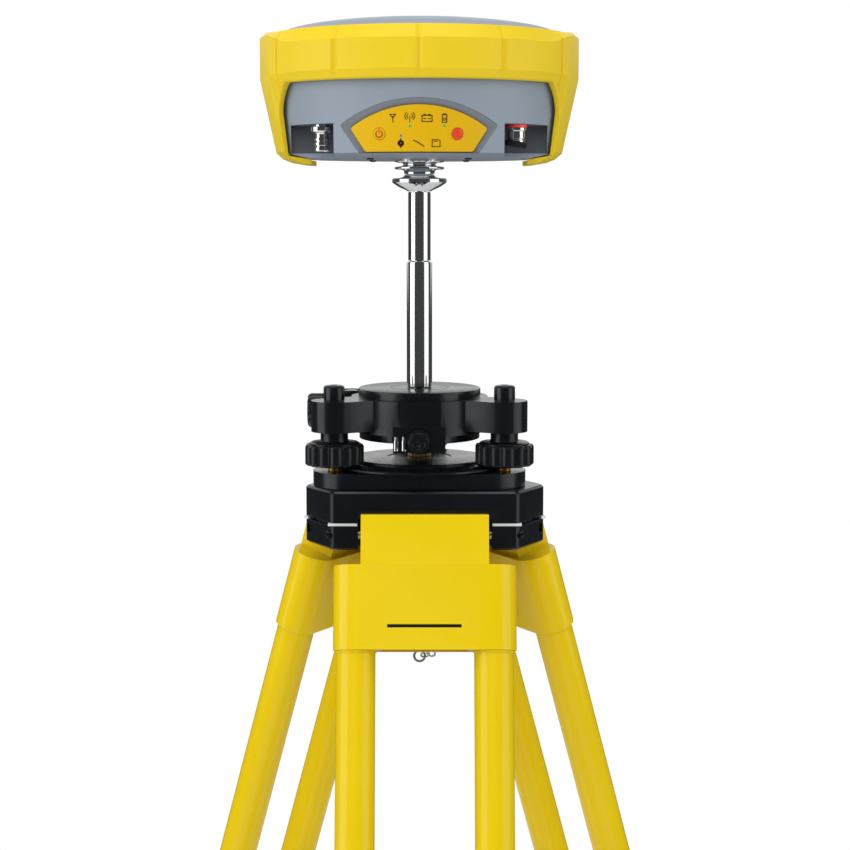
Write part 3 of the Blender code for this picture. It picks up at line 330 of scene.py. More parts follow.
def refined(node, bevel):
    """The node's own shape with clean faces, rounded edges and its finish."""
    bm = bmesh.new()
    bm.from_mesh(frame["nodes"][node].data)
    bmesh.ops.remove_doubles(bm, verts=bm.verts[:], dist=MERGE_DISTANCE)
    bmesh.ops.dissolve_limit(bm, angle_limit=math.radians(0.3), verts=bm.verts[:], edges=bm.edges[:])
    return piece(node + ".finished", closed(bm), SLOTS[node], body_of(node), bevel=bevel,
                 replaces=(node,), segments=2)


def at_axis(z=0.0, x=0.0, y=0.0):
    """A place given in the tripod head's own coordinates."""
    return Matrix.Translation(AXIS + Vector((x, y, z)))


def centred(node):
    """The middle of a node's box, and the heights of its bottom and top from there."""
    low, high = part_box(node)
    middle = (low + high) / 2.0
    return middle, low.z - middle.z, high.z - middle.z


def local(node):
    """A node's lowest and highest height above the tripod head."""
    low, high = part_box(node)
    return low.z - AXIS.z, high.z - AXIS.z


def width(node):
    low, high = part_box(node)
    return high.x - low.x


ALONG_X = Matrix.Rotation(math.pi / 2.0, 4, "Y")
ALONG_FRONT = Matrix.Rotation(math.pi / 2.0, 4, "X")


# ---- receiver: bumper and dome ------------------------------------------------------
# sections as (radius, height) in millimetres; angles in degrees about the X axis
BAND_TOP = ((91.5, 274.4), (93.5, 275.7), (98.3, 267.8), (98.3, 250.3))
WING_TOP = ((91.5, 276.4), (94.5, 277.8), (98.3, 273.8), (98.3, 249.3))
BAND_LOW = ((96.5, 245.9), (96.0, 245.4), (95.5, 245.1), (94.8, 244.9),
            (94.0, 244.8), (93.2, 244.8), (92.3, 244.9), (91.5, 245.2))
EDGE_LOW = ((89.2, 206.5), (88.4, 203.4), (87.7, 202.5), (87.2, 202.4),
            (86.7, 202.4), (86.4, 203.0), (86.3, 204.8), (91.5, 245.2))
WING_LOW = ((88.6, 204.6), (84.5, 200.9), (79.0, 198.7), (71.0, 197.4),
            (71.0, 200.4), (84.2, 202.4), (86.1, 204.6), (91.5, 245.2))
CREST_START = 4.0       # where the crest starts to sink
WING_ANGLE = 22.5       # half of each side wing
WING_EDGE = 23.5
WING_STEP = 24.3
WING_BLEND = 37.0
CORNER_END = 34.0
STEP_SHARE = 0.50
GROOVE_EVERY = 30.0
GROOVE_HALF = 1.25
GROOVE_DEPTH = 1.5


def mixed(first, second, share):
    return [(a[0] + (b[0] - a[0]) * share, a[1] + (b[1] - a[1]) * share) for a, b in zip(first, second)]


def falling(angle, start, end):
    """One up to the start angle, then evenly down to nothing at the end angle."""
    return min(1.0, max(0.0, (end - angle) / (end - start)))


def bumper_section(degree):
    """The section at an angle: a wing's foot ends first, then its upright edge curves up."""
    off_side = abs(math.remainder(degree, 180.0))
    crest = mixed(BAND_TOP[:2], WING_TOP[:2], falling(off_side, CREST_START, WING_ANGLE))
    face = mixed(BAND_TOP[2:], WING_TOP[2:], falling(off_side, WING_ANGLE, WING_BLEND))
    top = crest + face
    if off_side <= WING_EDGE:
        return top + mixed(EDGE_LOW, WING_LOW, falling(off_side, WING_ANGLE, WING_EDGE))
    if off_side <= WING_STEP:
        share = STEP_SHARE + (1.0 - STEP_SHARE) * falling(off_side, WING_EDGE, WING_STEP)
    else:
        left = falling(off_side, WING_STEP, CORNER_END)
        share = STEP_SHARE * (1.0 - (1.0 - left) ** 0.6)
    return top + mixed(BAND_LOW, EDGE_LOW, share)


def bumper():
    """The yellow band with its side wings and shallow upright grooves."""
    degrees = {2.5 * i for i in range(144)}
    for i in range(12):
        degrees |= {(GROOVE_EVERY * i - GROOVE_HALF) % 360.0, (GROOVE_EVERY * i + GROOVE_HALF) % 360.0}
    steps = [WING_ANGLE, WING_EDGE]
    steps += [WING_STEP + (CORNER_END - WING_STEP) * (i / 12.0) ** 2 for i in range(13)]
    for step in steps:
        degrees |= {step, 180.0 - step, 180.0 + step, 360.0 - step}
    bm = bmesh.new()
    rings = []
    for degree in sorted(degrees):
        angle = math.radians(degree)
        section = bumper_section(degree)
        if abs(math.remainder(degree, GROOVE_EVERY)) < 0.01:
            section[2:4] = [(radius - GROOVE_DEPTH, height) for radius, height in section[2:4]]
        across = MM * math.cos(angle)
        along = MM * math.sin(angle)
        rings.append([bm.verts.new((r * across, r * along, MM * z)) for r, z in section])
    for i, ring in enumerate(rings):
        bridge(bm, ring, rings[(i + 1) % len(rings)])
    piece("bumper_shell", closed(bm), "bumper_yellow_rubber", "carrier", at_axis(), bevel=0.8 * MM,
          replaces=("protective_bumper",), angle=14.0)


def dome():
    """The grey radome: a shallow dome with a fine step near its rim."""
    bottom, top = local("radome_cover")
    radius = width("radome_cover") / 2.0
    rim = 273.8 * MM
    rise = top - rim
    profile = []
    for i in range(13):
        angle = math.pi / 2.0 * i / 12
        reach = radius * math.sin(angle)
        level = rim + rise * math.cos(angle)
        if i == 9:
            profile.append((reach - 0.6 * MM, level + 0.1 * MM))
            level -= 0.5 * MM
        profile.append((reach, level))
    wall = 3.0 * MM
    profile += [(radius, bottom), (radius - wall, bottom), (radius - wall, rim - wall), (0.0, top - wall)]
    piece("dome", lathe(profile, 128), "housing_grey", "carrier", at_axis(), bevel=0.3 * MM,
          replaces=("radome_cover",))


# ---- receiver: front wall and keypad --------------------------------------------------
WALL_LOW = (83.9 * MM, 203.2 * MM)      # the side wall's radius and height, low and high
WALL_HIGH = (89.7 * MM, 245.0 * MM)
# arched shapes: half width, apex height, rise to the apex, foot height, half of the straight foot
PANEL = (39.4 * MM, 230.4 * MM, 12.8 * MM, 203.6 * MM, 31.3 * MM)
PANEL_BACK = 2.7 * MM
PANEL_FRONT = 0.8 * MM
WALL_SLOPE = (WALL_HIGH[0] - WALL_LOW[0]) / (WALL_HIGH[1] - WALL_LOW[1])


def wall_radius(height):
    return WALL_LOW[0] + (height - WALL_LOW[1]) * WALL_SLOPE


def wall_point(x, height, inset):
    radius = wall_radius(height) - inset
    return Vector((x, -math.sqrt(radius * radius - x * x), height))


def wall_frame(x, height):
    """A frame on the front wall: X across, Y up the wall, Z outwards."""
    place = wall_point(x, height, 0.0)
    normal = Vector((place.x, place.y, -WALL_SLOPE * wall_radius(height))).normalized()
    across = Vector((0.0, 0.0, 1.0)).cross(normal).normalized()
    axes = Matrix((across, normal.cross(across), normal)).transposed().to_4x4()
    return Matrix.Translation(AXIS) @ Matrix.Translation(place) @ axes


def panel_edges(shape, x):
    half, apex, rise, low, straight = shape
    radius = (half * half + rise * rise) / (2.0 * rise)
    upper = apex - radius + math.sqrt(radius * radius - x * x)
    lower = low + max(0.0, abs(x) - straight) * (apex - rise - low) / (half - straight) * 0.9
    return lower, upper


def wall_plate(shape, back, front, columns=64, rows=10):
    """An arched plate that follows the curved front wall."""
    half = shape[0]
    bm = bmesh.new()
    rings = []
    for i in range(columns + 1):
        x = half * math.sin(math.pi * (i / columns - 0.5))
        low, high = panel_edges(shape, x)
        heights = [low + (high - low) * row / rows for row in range(rows + 1)]
        ring = [wall_point(x, height, back) for height in heights]
        ring += [wall_point(x, height, front) for height in reversed(heights)]
        rings.append([bm.verts.new(point) for point in ring])
    for first, second in zip(rings, rings[1:]):
        bridge(bm, first, second)
    bm.faces.new(rings[0])
    bm.faces.new(rings[-1])
    return closed(bm)


def cut(bm, cutters):
    """Cut meshes from a mesh."""
    mesh = bpy.data.meshes.new("cut")
    bm.to_mesh(mesh)
    bm.free()
    base = bpy.data.objects.new("cut", mesh)
    bpy.context.scene.collection.objects.link(base)
    tools = []
    for cutter in cutters:
        tool_mesh = bpy.data.meshes.new("cutter")
        cutter.to_mesh(tool_mesh)
        cutter.free()
        tool = bpy.data.objects.new("cutter", tool_mesh)
        bpy.context.scene.collection.objects.link(tool)
        modifier = base.modifiers.new("cut", "BOOLEAN")
        modifier.operation = "DIFFERENCE"
        modifier.object = tool
        tools.append(tool)
    bpy.context.view_layer.update()
    result = bmesh.new()
    result.from_object(base, bpy.context.evaluated_depsgraph_get())
    for thing in [base] + tools:
        bpy.data.objects.remove(thing)
    return closed(result)


BUTTON_Z = 213.7 * MM
BUTTONS = (("power_button", "power_key", -23.1 * MM), ("function_button", "function_key", 22.5 * MM))


def keypad():
    """The arched yellow panel and its two keys."""
    cutters = []
    for name, body, x in BUTTONS:
        low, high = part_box(name)
        radius = (high.z - low.z) / 2.0 - 0.1 * MM
        place = Matrix.Translation(-AXIS) @ wall_frame(x, BUTTON_Z)
        hole = prism(circle(radius + 0.22 * MM, 48), -6.0 * MM, 6.0 * MM)
        bmesh.ops.transform(hole, matrix=place, verts=hole.verts[:])
        cutters.append(hole)
        cap = lathe([(0.0, -0.15 * MM), (radius * 0.5, -0.12 * MM), (radius * 0.8, -0.2 * MM),
                     (radius, -0.6 * MM), (radius, -2.3 * MM), (0.0, -2.3 * MM)], 64)
        piece(name + ".cap", cap, SLOTS[name], body, wall_frame(x, BUTTON_Z), bevel=0.15 * MM,
              replaces=(name,))
    panel = cut(wall_plate(PANEL, PANEL_BACK, PANEL_FRONT), cutters)
    piece("keypad.panel", panel, "keypad_yellow", "carrier", at_axis(), bevel=0.25 * MM,
          replaces=("keypad_panel",), angle=40.0)


def stroke(bm, start, end, thickness, low, high):
    """One straight stroke of an icon, as a thin bar."""
    along = Vector(end) - Vector(start)
    side = Vector((-along.y, along.x)).normalized() * thickness / 2.0
    tip = along.normalized() * thickness / 2.0
    a = Vector(start) - tip
    b = Vector(end) + tip
    prism([a - side, b - side, b + side, a + side], low, high, bm)


def icon(name, x, height, strokes, material="print_dark", thickness=0.56, body="carrier",
         level=-PANEL_FRONT):
    """A printed icon of straight strokes, given in millimetres around its middle."""
    bm = bmesh.new()
    for start, end in strokes:
        ends = ([v * MM for v in start], [v * MM for v in end])
        stroke(bm, *ends, thickness * MM, level - 0.05 * MM, level + 0.07 * MM)
    slot = "keypad_yellow" if body == "carrier" else SLOTS["power_button"]
    piece(name, bm, slot, body, wall_frame(x, height), material=material)


def joined(points):
    """The strokes round a closed figure."""
    return list(zip(points, points[1:] + points[:1]))


def box_strokes(half_x, half_y, x=0.0, y=0.0):
    return joined([(x - half_x, y - half_y), (x + half_x, y - half_y), (x + half_x, y + half_y),
                   (x - half_x, y + half_y)])


def ring_strokes(radius, start, end, steps=18, x=0.0, y=0.0):
    angles = [math.radians(start + (end - start) * i / steps) for i in range(steps + 1)]
    points = [(x + radius * math.cos(a), y + radius * math.sin(a)) for a in angles]
    return list(zip(points, points[1:]))


TOP_ROW_Z = 222.5 * MM
LAMP_ROW_Z = 218.1 * MM
LINK_LAMP_Z = 212.6 * MM
LOW_ROW_Z = 208.3 * MM
RADIO_X = -5.3 * MM
BATTERY_X = 14.9 * MM
LINK_X = -10.6 * MM


def icons():
    """Plain pictograms: reception, radio, store, battery, power, link, route and card."""
    mast = [((0.0, -2.2), (0.0, 1.0)), ((0.0, 0.2), (-1.7, 2.2)), ((0.0, 0.2), (1.7, 2.2)),
            ((-1.7, 2.2), (1.7, 2.2))]
    icon("icon_reception", -15.2 * MM, TOP_ROW_Z, mast)
    waves = [((0.0, -2.2), (0.0, 1.2))]
    for radius, reach in ((1.6, 50.0), (2.8, 45.0)):
        for facing in (0.0, 180.0):
            waves += ring_strokes(radius, facing - reach, facing + reach, 6, y=1.2)
    icon("icon_radio", RADIO_X, TOP_ROW_Z, waves, thickness=0.46)
    store = box_strokes(2.9, 1.7, y=-0.2)
    for level in (2.1, -0.2):
        store += [((-1.8, level), (-0.8, level)), ((0.8, level), (1.8, level))]
    icon("icon_store", 4.7 * MM, TOP_ROW_Z, store)
    cell = box_strokes(1.3, 2.2, y=-0.2)
    cell += [((-0.6, 2.5), (0.6, 2.5)), ((-0.7, -1.0), (0.7, -1.0)), ((-0.7, 0.0), (0.7, 0.0))]
    icon("icon_battery", BATTERY_X, TOP_ROW_Z, cell)
    power = ring_strokes(1.9, 125.0, 415.0) + [((0.0, 0.4), (0.0, 2.6))]
    icon("icon_power", BUTTONS[0][2], BUTTON_Z, power, "print_red", 0.75, "power_key", -0.16 * MM)
    link = ring_strokes(1.5, 0.0, 360.0) + ring_strokes(0.7, 0.0, 360.0, 10)
    link += [((0.0, -1.5), (0.0, -2.4)), ((0.0, 1.5), (0.0, 2.4))]
    icon("icon_link", LINK_X, LOW_ROW_Z, link, thickness=0.8)
    route = [((-2.9, 1.7), (0.2, 0.3)), ((-0.2, 0.3), (2.9, -1.7))]
    icon("icon_route", -0.2 * MM, LOW_ROW_Z, route, thickness=0.62)
    card = joined([(-2.3, -2.0), (2.3, -2.0), (2.3, 1.2), (1.3, 2.0), (-2.3, 2.0)])
    card += [((-1.2, 1.1), (0.6, 1.1))]
    icon("icon_card", 10.0 * MM, LOW_ROW_Z, card, thickness=0.5)
    for name, x, height, material in (("lamp_radio", RADIO_X, LAMP_ROW_Z, "lamp_green"),
                                      ("lamp_battery", BATTERY_X, LAMP_ROW_Z, "lamp_green"),
                                      ("lamp_link", LINK_X, LINK_LAMP_Z, "lamp_blue")):
        lens = lathe(above(0.0, ((0.0, 0.35), (0.5, 0.28), (0.85, 0.0), (0.85, -0.4), (0.0, -0.4))), 24)
        place = wall_frame(x, height) @ Matrix.Translation((0.0, 0.0, -PANEL_FRONT))
        piece(name, lens, "keypad_yellow", "carrier", place, material=material)


BEZEL = (45.4 * MM, 234.4 * MM, 14.8 * MM, 202.9 * MM, 35.0 * MM)
BEZEL_DEPTH = 3.0 * MM


def arch_outline(shape, grow, steps=48):
    """The arched outline's points: over the top from left to right, then back along the bottom."""
    half, apex, rise, low, straight = shape
    grown = (half + grow, apex + grow, rise, low - grow, straight + grow * 0.5)
    upper = []
    lower = []
    for i in range(steps + 1):
        x = grown[0] * math.sin(math.pi * (i / steps - 0.5))
        bottom, top = panel_edges(grown, x)
        upper.append((x, top))
        lower.append((x, bottom))
    return upper + lower[-2:0:-1]


def keypad_surround():
    """A smooth slope from the housing's wall down to the keypad's edge, coloured darker grey than the housing
    as painted shade in the recess.
    """
    outer = arch_outline(BEZEL, -0.12 * MM)
    inner = arch_outline(PANEL, 0.3 * MM)
    bm = bmesh.new()
    rings = []
    for outline, inset in ((outer, 2.9 * MM), (outer, 0.12 * MM), (inner, 2.3 * MM), (inner, 2.9 * MM)):
        rings.append([bm.verts.new(wall_point(x, height, inset)) for x, height in outline])
    for i, ring in enumerate(rings):
        bridge(bm, ring, rings[(i + 1) % len(rings)])
    piece("keypad_surround", closed(bm), "housing_grey", "carrier", at_axis(), material="painted_recess_shade",
          angle=50.0)


PAST_WALL = 120.0       # millimetres: beyond the housing's wall, and below its floor
BELOW_FLOOR = 190.0
POCKET_SIDES = (50.0, 77.2)
POCKET_BACK = -31.0
POCKET_TOP = 220.4
# the lowest height and the front edge of the dark sheets painted as shade inside the pockets
SHADE_SHEET_LOW = 204.0
SHADE_SHEET_FRONT = -66.0
CAVITY = (58.0, 236.0)          # radius and floor of the hollow above
# the door's recess, its seat and the battery bay: half width, innermost Y, bottom and top
BACK_RECESSES = ((36.0, 80.3, BELOW_FLOOR, 237.0), (31.3, 77.3, 207.7, 234.3), (27.3, 21.7, 210.9, 231.5))
ROD_HOLE = (12.3, 215.0)        # radius and top


def block(low, high):
    """A box between two corners in millimetres."""
    outline = [(low[0] * MM, low[1] * MM), (high[0] * MM, low[1] * MM), (high[0] * MM, high[1] * MM),
               (low[0] * MM, high[1] * MM)]
    return prism(outline, low[2] * MM, high[2] * MM)


def roof_outline(near, far, reach, back, steps=8):
    """A pocket roof whose front edge follows the round wall."""
    front = []
    for i in range(steps + 1):
        x = near + (far - near) * i / steps
        front.append((x, -math.sqrt(reach * reach - x * x)))
    return front + [(far, back), (near, back)]


def housing():
    """The lower housing, turned finely, with its pockets, door recess and battery bay."""
    floor, top = local("lower_housing")
    cavity, cavity_floor = (size * MM for size in CAVITY)
    profile = [(0.0, floor), (74.0 * MM, floor), WALL_LOW, (WALL_HIGH[0], top),
               (cavity, top), (cavity, cavity_floor), (0.0, cavity_floor)]
    cutters = [wall_plate(BEZEL, BEZEL_DEPTH, -4.0 * MM, 40, 1)]
    for side in (-1.0, 1.0):
        near, far = sorted(side * reach for reach in POCKET_SIDES)
        cutters.append(block((near, -PAST_WALL, BELOW_FLOOR), (far, POCKET_BACK, POCKET_TOP)))
    for half, inner, low, high in BACK_RECESSES:
        cutters.append(block((-half, inner, low), (half, PAST_WALL, high)))
    cutters.append(prism(circle(ROD_HOLE[0] * MM, 64), BELOW_FLOOR * MM, ROD_HOLE[1] * MM))
    shell = cut(lathe(profile, 180), cutters)
    bmesh.ops.remove_doubles(shell, verts=shell.verts[:], dist=MERGE_DISTANCE)
    thing = piece("housing_shell", shell, "housing_grey", "carrier", at_axis(), bevel=0.35 * MM,
                  replaces=("lower_housing",), segments=2)
    even = thing.modifiers.new("even", "WEIGHTED_NORMAL")
    even.keep_sharp = True
    # Dark sheets on each pocket's back, roof and inner cheek: painted shade for the pockets' shaded insides.
    reach = wall_radius(POCKET_TOP * MM) - 0.8 * MM
    for side, word in ((-1.0, "left"), (1.0, "right")):
        near, far = sorted((side * (POCKET_SIDES[0] + 0.1), side * (POCKET_SIDES[1] - 0.1)))
        cheek = side * (POCKET_SIDES[0] + 0.25)
        back = POCKET_BACK - 0.6
        outline = roof_outline(near * MM, far * MM, reach, back * MM)
        plate = block((near, POCKET_BACK - 0.4, SHADE_SHEET_LOW), (far, POCKET_BACK - 0.05, POCKET_TOP - 0.1))
        roof = prism(outline, (POCKET_TOP - 0.4) * MM, (POCKET_TOP - 0.05) * MM)
        wall = block((cheek - 0.15, SHADE_SHEET_FRONT, SHADE_SHEET_LOW), (cheek + 0.15, back, POCKET_TOP - 0.6))
        for part, shade_sheet in (("back", plate), ("roof", roof), ("cheek", wall)):
            piece(f"pocket_shade_{part}_{word}", shade_sheet, "housing_grey", "carrier", at_axis(),
                  material="painted_pocket_shade")


# ---- receiver: connectors, back and underside ------------------------------------------
CAP_TILT = math.radians(9.0)


def connectors():
    """The threaded antenna socket and the data socket with its red ring and tilted cap."""
    middle, bottom, top = centred("tnc_connector")
    place = Matrix.Translation(middle)
    profile = above(bottom, ((0.0, 6.0), (3.1, 6.0), (3.5, 0.0), (4.1, 0.0), (4.5, 0.5), (4.5, 2.2),
                             (3.9, 2.5), (3.9, 3.3), (4.7, 3.6), (4.7, 4.9), (4.0, 5.2), (4.0, 6.0),
                             (4.6, 6.3), (4.6, 7.6), (3.9, 8.0)))
    profile += above(top, ((3.9, -5.6), (4.4, -4.9), (6.2, -4.3), (6.6, -3.7), (6.6, -1.6), (6.2, -1.2),
                           (4.6, -1.0), (4.6, 0.0), (0.0, 0.0)))
    piece("antenna_socket", lathe(profile, 64), "chrome", "carrier", place, replaces=("tnc_connector",))
    pin = lathe(above(bottom, ((0.0, 1.5), (0.4, 1.9), (0.6, 2.6), (0.6, 6.2), (0.0, 6.2))), 20)
    piece("antenna_socket_pin", pin, "brass", "carrier", place)

    middle, bottom, top = centred("lemo_port")
    place = Matrix.Translation(middle)
    barrel = above(bottom, ((0.0, 5.0), (3.4, 5.0), (3.8, 2.4), (5.0, 2.4), (5.35, 3.0), (5.35, 4.4),
                            (4.9, 4.7), (4.9, 5.3), (5.35, 5.6)))
    barrel += above(top, ((5.35, -3.9), (6.1, -3.4), (6.1, -1.9), (0.0, -1.9)))
    piece("data_socket", lathe(barrel, 64), "steel", "carrier", place, bevel=0.1 * MM,
          replaces=("lemo_port",), material="chrome")
    ring = above(top, ((0.0, -1.8), (6.1, -1.8), (6.4, -1.5), (6.4, 0.0), (0.0, 0.0)))
    piece("data_socket_ring", lathe(ring, 64), "steel", "carrier", place, material="red_button",
          bevel=0.15 * MM)
    cap = above(0.0, ((0.0, -1.7), (6.3, -1.7), (6.9, -1.2), (6.9, 1.0), (6.2, 1.6), (5.6, 1.7), (0.0, 1.7)))
    tilt = Matrix.Translation((-0.5 * MM, 0.0, bottom + 2.3 * MM)) @ Matrix.Rotation(CAP_TILT, 4, "Y")
    piece("data_socket_cap", lathe(cap, 64), "steel", "carrier", place @ tilt, material="black_rubber",
          bevel=0.2 * MM)


def back_details():
    """Grip ribs on the door and its latch."""
    low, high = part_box("battery_door")
    face = high.y
    ribs = bmesh.new()
    for i in range(5):
        level = low.z + (6.0 + 2.4 * i) * MM
        for side in (-1.0, 1.0):
            centre = side * 20.0 * MM
            outline = [(centre - 6.0 * MM, face - 0.3 * MM), (centre + 6.0 * MM, face - 0.3 * MM),
                       (centre + 5.6 * MM, face + 0.15 * MM), (centre - 5.6 * MM, face + 0.15 * MM)]
            prism(outline, level, level + 1.0 * MM, ribs)
    piece("door_ribs", ribs, "housing_grey", "door", bevel=0.12 * MM)

    low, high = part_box("battery_door_latch")
    grips = bmesh.new()
    for i in range(4):
        level = low.z + (0.9 + 1.5 * i) * MM
        outline = [(low.x + 1.2 * MM, high.y - 0.1 * MM), (high.x - 1.2 * MM, high.y - 0.1 * MM),
                   (high.x - 1.5 * MM, high.y + 0.35 * MM), (low.x + 1.5 * MM, high.y + 0.35 * MM)]
        prism(outline, level, level + 0.7 * MM, grips)
    piece("latch_grips", grips, "black_plastic", "door_latch", bevel=0.1 * MM)


def screw_head(name, place, radius, slot, body, recess=True):
    """A pan-head screw with a hexagonal recess."""
    body_mesh = lathe([(0.0, radius * 0.55), (radius * 0.6, radius * 0.52), (radius * 0.9, radius * 0.35),
                       (radius, radius * 0.1), (radius, 0.0), (0.0, 0.0)], 36)
    if recess:
        socket = prism(circle(radius * 0.42, 6), radius * 0.15, radius)
        body_mesh = cut(body_mesh, [socket])
    piece(name, body_mesh, slot, body, place, angle=30.0)


def underside_screws():
    """Four screws that hold the lower housing to the upper shell."""
    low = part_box("lower_housing")[0]
    for i in range(4):
        angle = math.radians(45.0 + 90.0 * i)
        spot = Vector((AXIS.x + 42.0 * MM * math.cos(angle), AXIS.y + 42.0 * MM * math.sin(angle), low.z))
        place = Matrix.Translation(spot) @ Matrix.Rotation(math.pi, 4, "X")
        screw_head(f"housing_screw_{i + 1}", place, 2.2 * MM, "black_casting", "carrier")


# ---- pole ---------------------------------------------------------------------------
def pole():
    """Chrome rods, the quick-release adapter and the black carrier disc, all turned."""
    low, top = local("carrier_plate")
    edge = width("carrier_plate") / 2.0 / MM
    shelf = local("tribrach_body")[1] - 1.1 * MM
    profile = above(low, ((0.0, 0.0), (11.4, 0.0), (12.0, 0.6)))
    profile += above(shelf, ((12.0, 0.0), (edge - 0.5, 0.0), (edge, 0.5)))
    profile += above(top, ((edge, -0.9), (edge - 0.3, -0.3), (edge - 0.9, 0.0), (19.0, 0.0), (18.6, -0.35),
                           (18.0, -0.35), (17.6, 0.0), (5.3, 0.0), (5.3, -9.0), (0.0, -9.0)))
    piece("carrier_disc", lathe(profile, 128), "black_casting", "carrier", at_axis(),
          replaces=("carrier_plate",))

    low, joint = local("lower_rod")
    edge = width("lower_rod") / 2.0 / MM
    profile = above(low, ((0.0, 0.0), (4.7, 0.0), (5.0, 0.4)))
    profile += above(top + 0.3 * MM, ((5.0, 0.0), (edge - 0.5, 0.0), (edge, 0.5)))
    profile += above(joint, ((edge, -1.4), (edge - 0.25, -0.5), (edge - 0.8, 0.0), (4.3, 0.0), (4.3, -18.0),
                             (0.0, -18.0)))
    piece("rod_lower", lathe(profile, 96), "chrome", "carrier", at_axis(), replaces=("lower_rod",))

    low, top = local("upper_rod")
    edge = width("upper_rod") / 2.0 / MM
    profile = above(low, ((0.0, 0.0), (3.7, 0.0), (4.0, 0.4)))
    profile += above(joint, ((4.0, 0.3), (edge - 0.3, 0.3), (edge, 0.6)))
    profile += above(top, ((edge, -6.4), (edge - 0.4, -6.0), (4.0, -6.0), (4.0, 0.0), (0.0, 0.0)))
    piece("rod_upper", lathe(profile, 96), "chrome", "carrier", at_axis(), replaces=("upper_rod",))
    adapter()


def adapter():
    """The spool-shaped chrome adapter between the rod and the receiver."""
    low, top = local("quick_release_adapter")
    profile = above(low, ((0.0, 6.5), (4.3, 6.5), (4.3, 0.0), (7.2, 0.0), (7.8, 0.4), (12.6, 2.6),
                          (16.4, 5.0), (17.0, 5.6), (17.0, 7.4), (16.6, 8.0), (11.0, 8.6), (9.8, 9.4),
                          (9.5, 10.4), (9.5, 12.0), (9.9, 12.9), (11.0, 13.4), (15.1, 13.6), (15.5, 14.0),
                          (15.5, 14.7),
                          (15.1, 15.1), (11.2, 15.5), (10.2, 16.1), (10.0, 16.7), (10.3, 17.2), (11.2, 17.6),
                          (15.1, 18.0), (15.5, 18.5)))
    profile += above(top, ((15.5, -10.3), (15.0, -9.8), (7.9, -9.8), (7.9, -0.8), (7.2, 0.0), (0.0, 0.0)))
    piece("adapter_spool", lathe(profile, 96), "chrome", "carrier", at_axis(),
          replaces=("quick_release_adapter",))


# ---- tribrach ------------------------------------------------------------------------
def scalloped(radius, depth, lobes, steps):
    """A knob's outline: broad ridges with narrow rounded grooves."""
    outline = []
    count = lobes * steps
    for i in range(count):
        angle = 2.0 * math.pi * i / count
        wave = abs(math.cos(lobes * angle / 2.0)) ** 0.7
        reach = radius - depth * (1.0 - wave)
        outline.append((reach * math.cos(angle), reach * math.sin(angle)))
    return outline


def stacked(outline, levels):
    """Loft an outline through (scale, height) levels and close both ends."""
    bm = bmesh.new()
    rings = [[bm.verts.new((x * scale, y * scale, height)) for x, y in outline] for scale, height in levels]
    for first, second in zip(rings, rings[1:]):
        bridge(bm, first, second)
    bm.faces.new(rings[0])
    bm.faces.new(rings[-1])
    return closed(bm)


CROWN = 28.0 * MM       # the top of the foot screws' wide grips


def foot_screws():
    """Scalloped knobs with a smooth neck, brass spindles and domed caps."""
    for i in (1, 2, 3):
        body = f"foot_screw_{i}"
        low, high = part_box(f"foot_screw_spindle_{i}")
        middle = (low + high) / 2.0
        place = Matrix.Translation((middle.x, middle.y, AXIS.z))
        bottom, top = local(f"foot_screw_knob_{i}")
        outline = scalloped(width(f"foot_screw_knob_{i}") / 2.0, 1.9 * MM, 13, 14)
        levels = [(0.93, bottom), (1.0, bottom + 1.2 * MM), (1.0, CROWN - 3.0 * MM), (0.96, CROWN - 1.6 * MM)]
        piece(f"knob_grip_{i}", stacked(outline, levels), "black_plastic", body, place, bevel=0.35 * MM,
              angle=25.0, replaces=(f"foot_screw_knob_{i}",))
        collar = above(bottom, ((0.0, 2.0), (15.4, 2.0)))
        collar += above(CROWN, ((15.4, -0.8), (14.6, -0.2), (13.0, 0.0), (9.6, 0.0), (8.9, 0.4), (8.5, 1.4)))
        collar += above(top, ((8.5, -0.4), (8.1, 0.0), (0.0, 0.0)))
        piece(f"knob_collar_{i}", lathe(collar, 64), "black_plastic", body, place)

        low, high = local(f"foot_screw_spindle_{i}")
        core = 4.25
        profile = above(low, ((0.0, 0.0), (2.8, 0.0), (core - 0.3, 0.5), (core, 1.3)))
        for turn in range(5):
            profile += above(low + (2.0 + 0.8 * turn) * MM, ((core - 0.35, 0.0), (core, 0.4)))
        profile += above(high, ((core, -0.5), (core - 0.5, 0.0), (0.0, 0.0)))
        piece(f"spindle_{i}", lathe(profile, 48), "brass", body, place, replaces=(f"foot_screw_spindle_{i}",))

        low, high = local(f"foot_screw_cap_{i}")
        edge = width(f"foot_screw_cap_{i}") / 2.0 / MM
        profile = above(low, ((0.0, 0.0), (edge, 0.0)))
        profile += above(high, ((edge, -1.5), (edge - 0.35, -0.7), (edge - 1.1, -0.15), (edge - 2.0, 0.0),
                                (2.6, 0.0), (2.2, -0.7), (0.0, -0.8)))
        piece(f"cap_{i}", lathe(profile, 64), "black_casting", "head", place,
              replaces=(f"foot_screw_cap_{i}",))


PIN_PLACES = (-14.2 * MM, -9.4 * MM)
PIN_FORWARD = -43.9 * MM


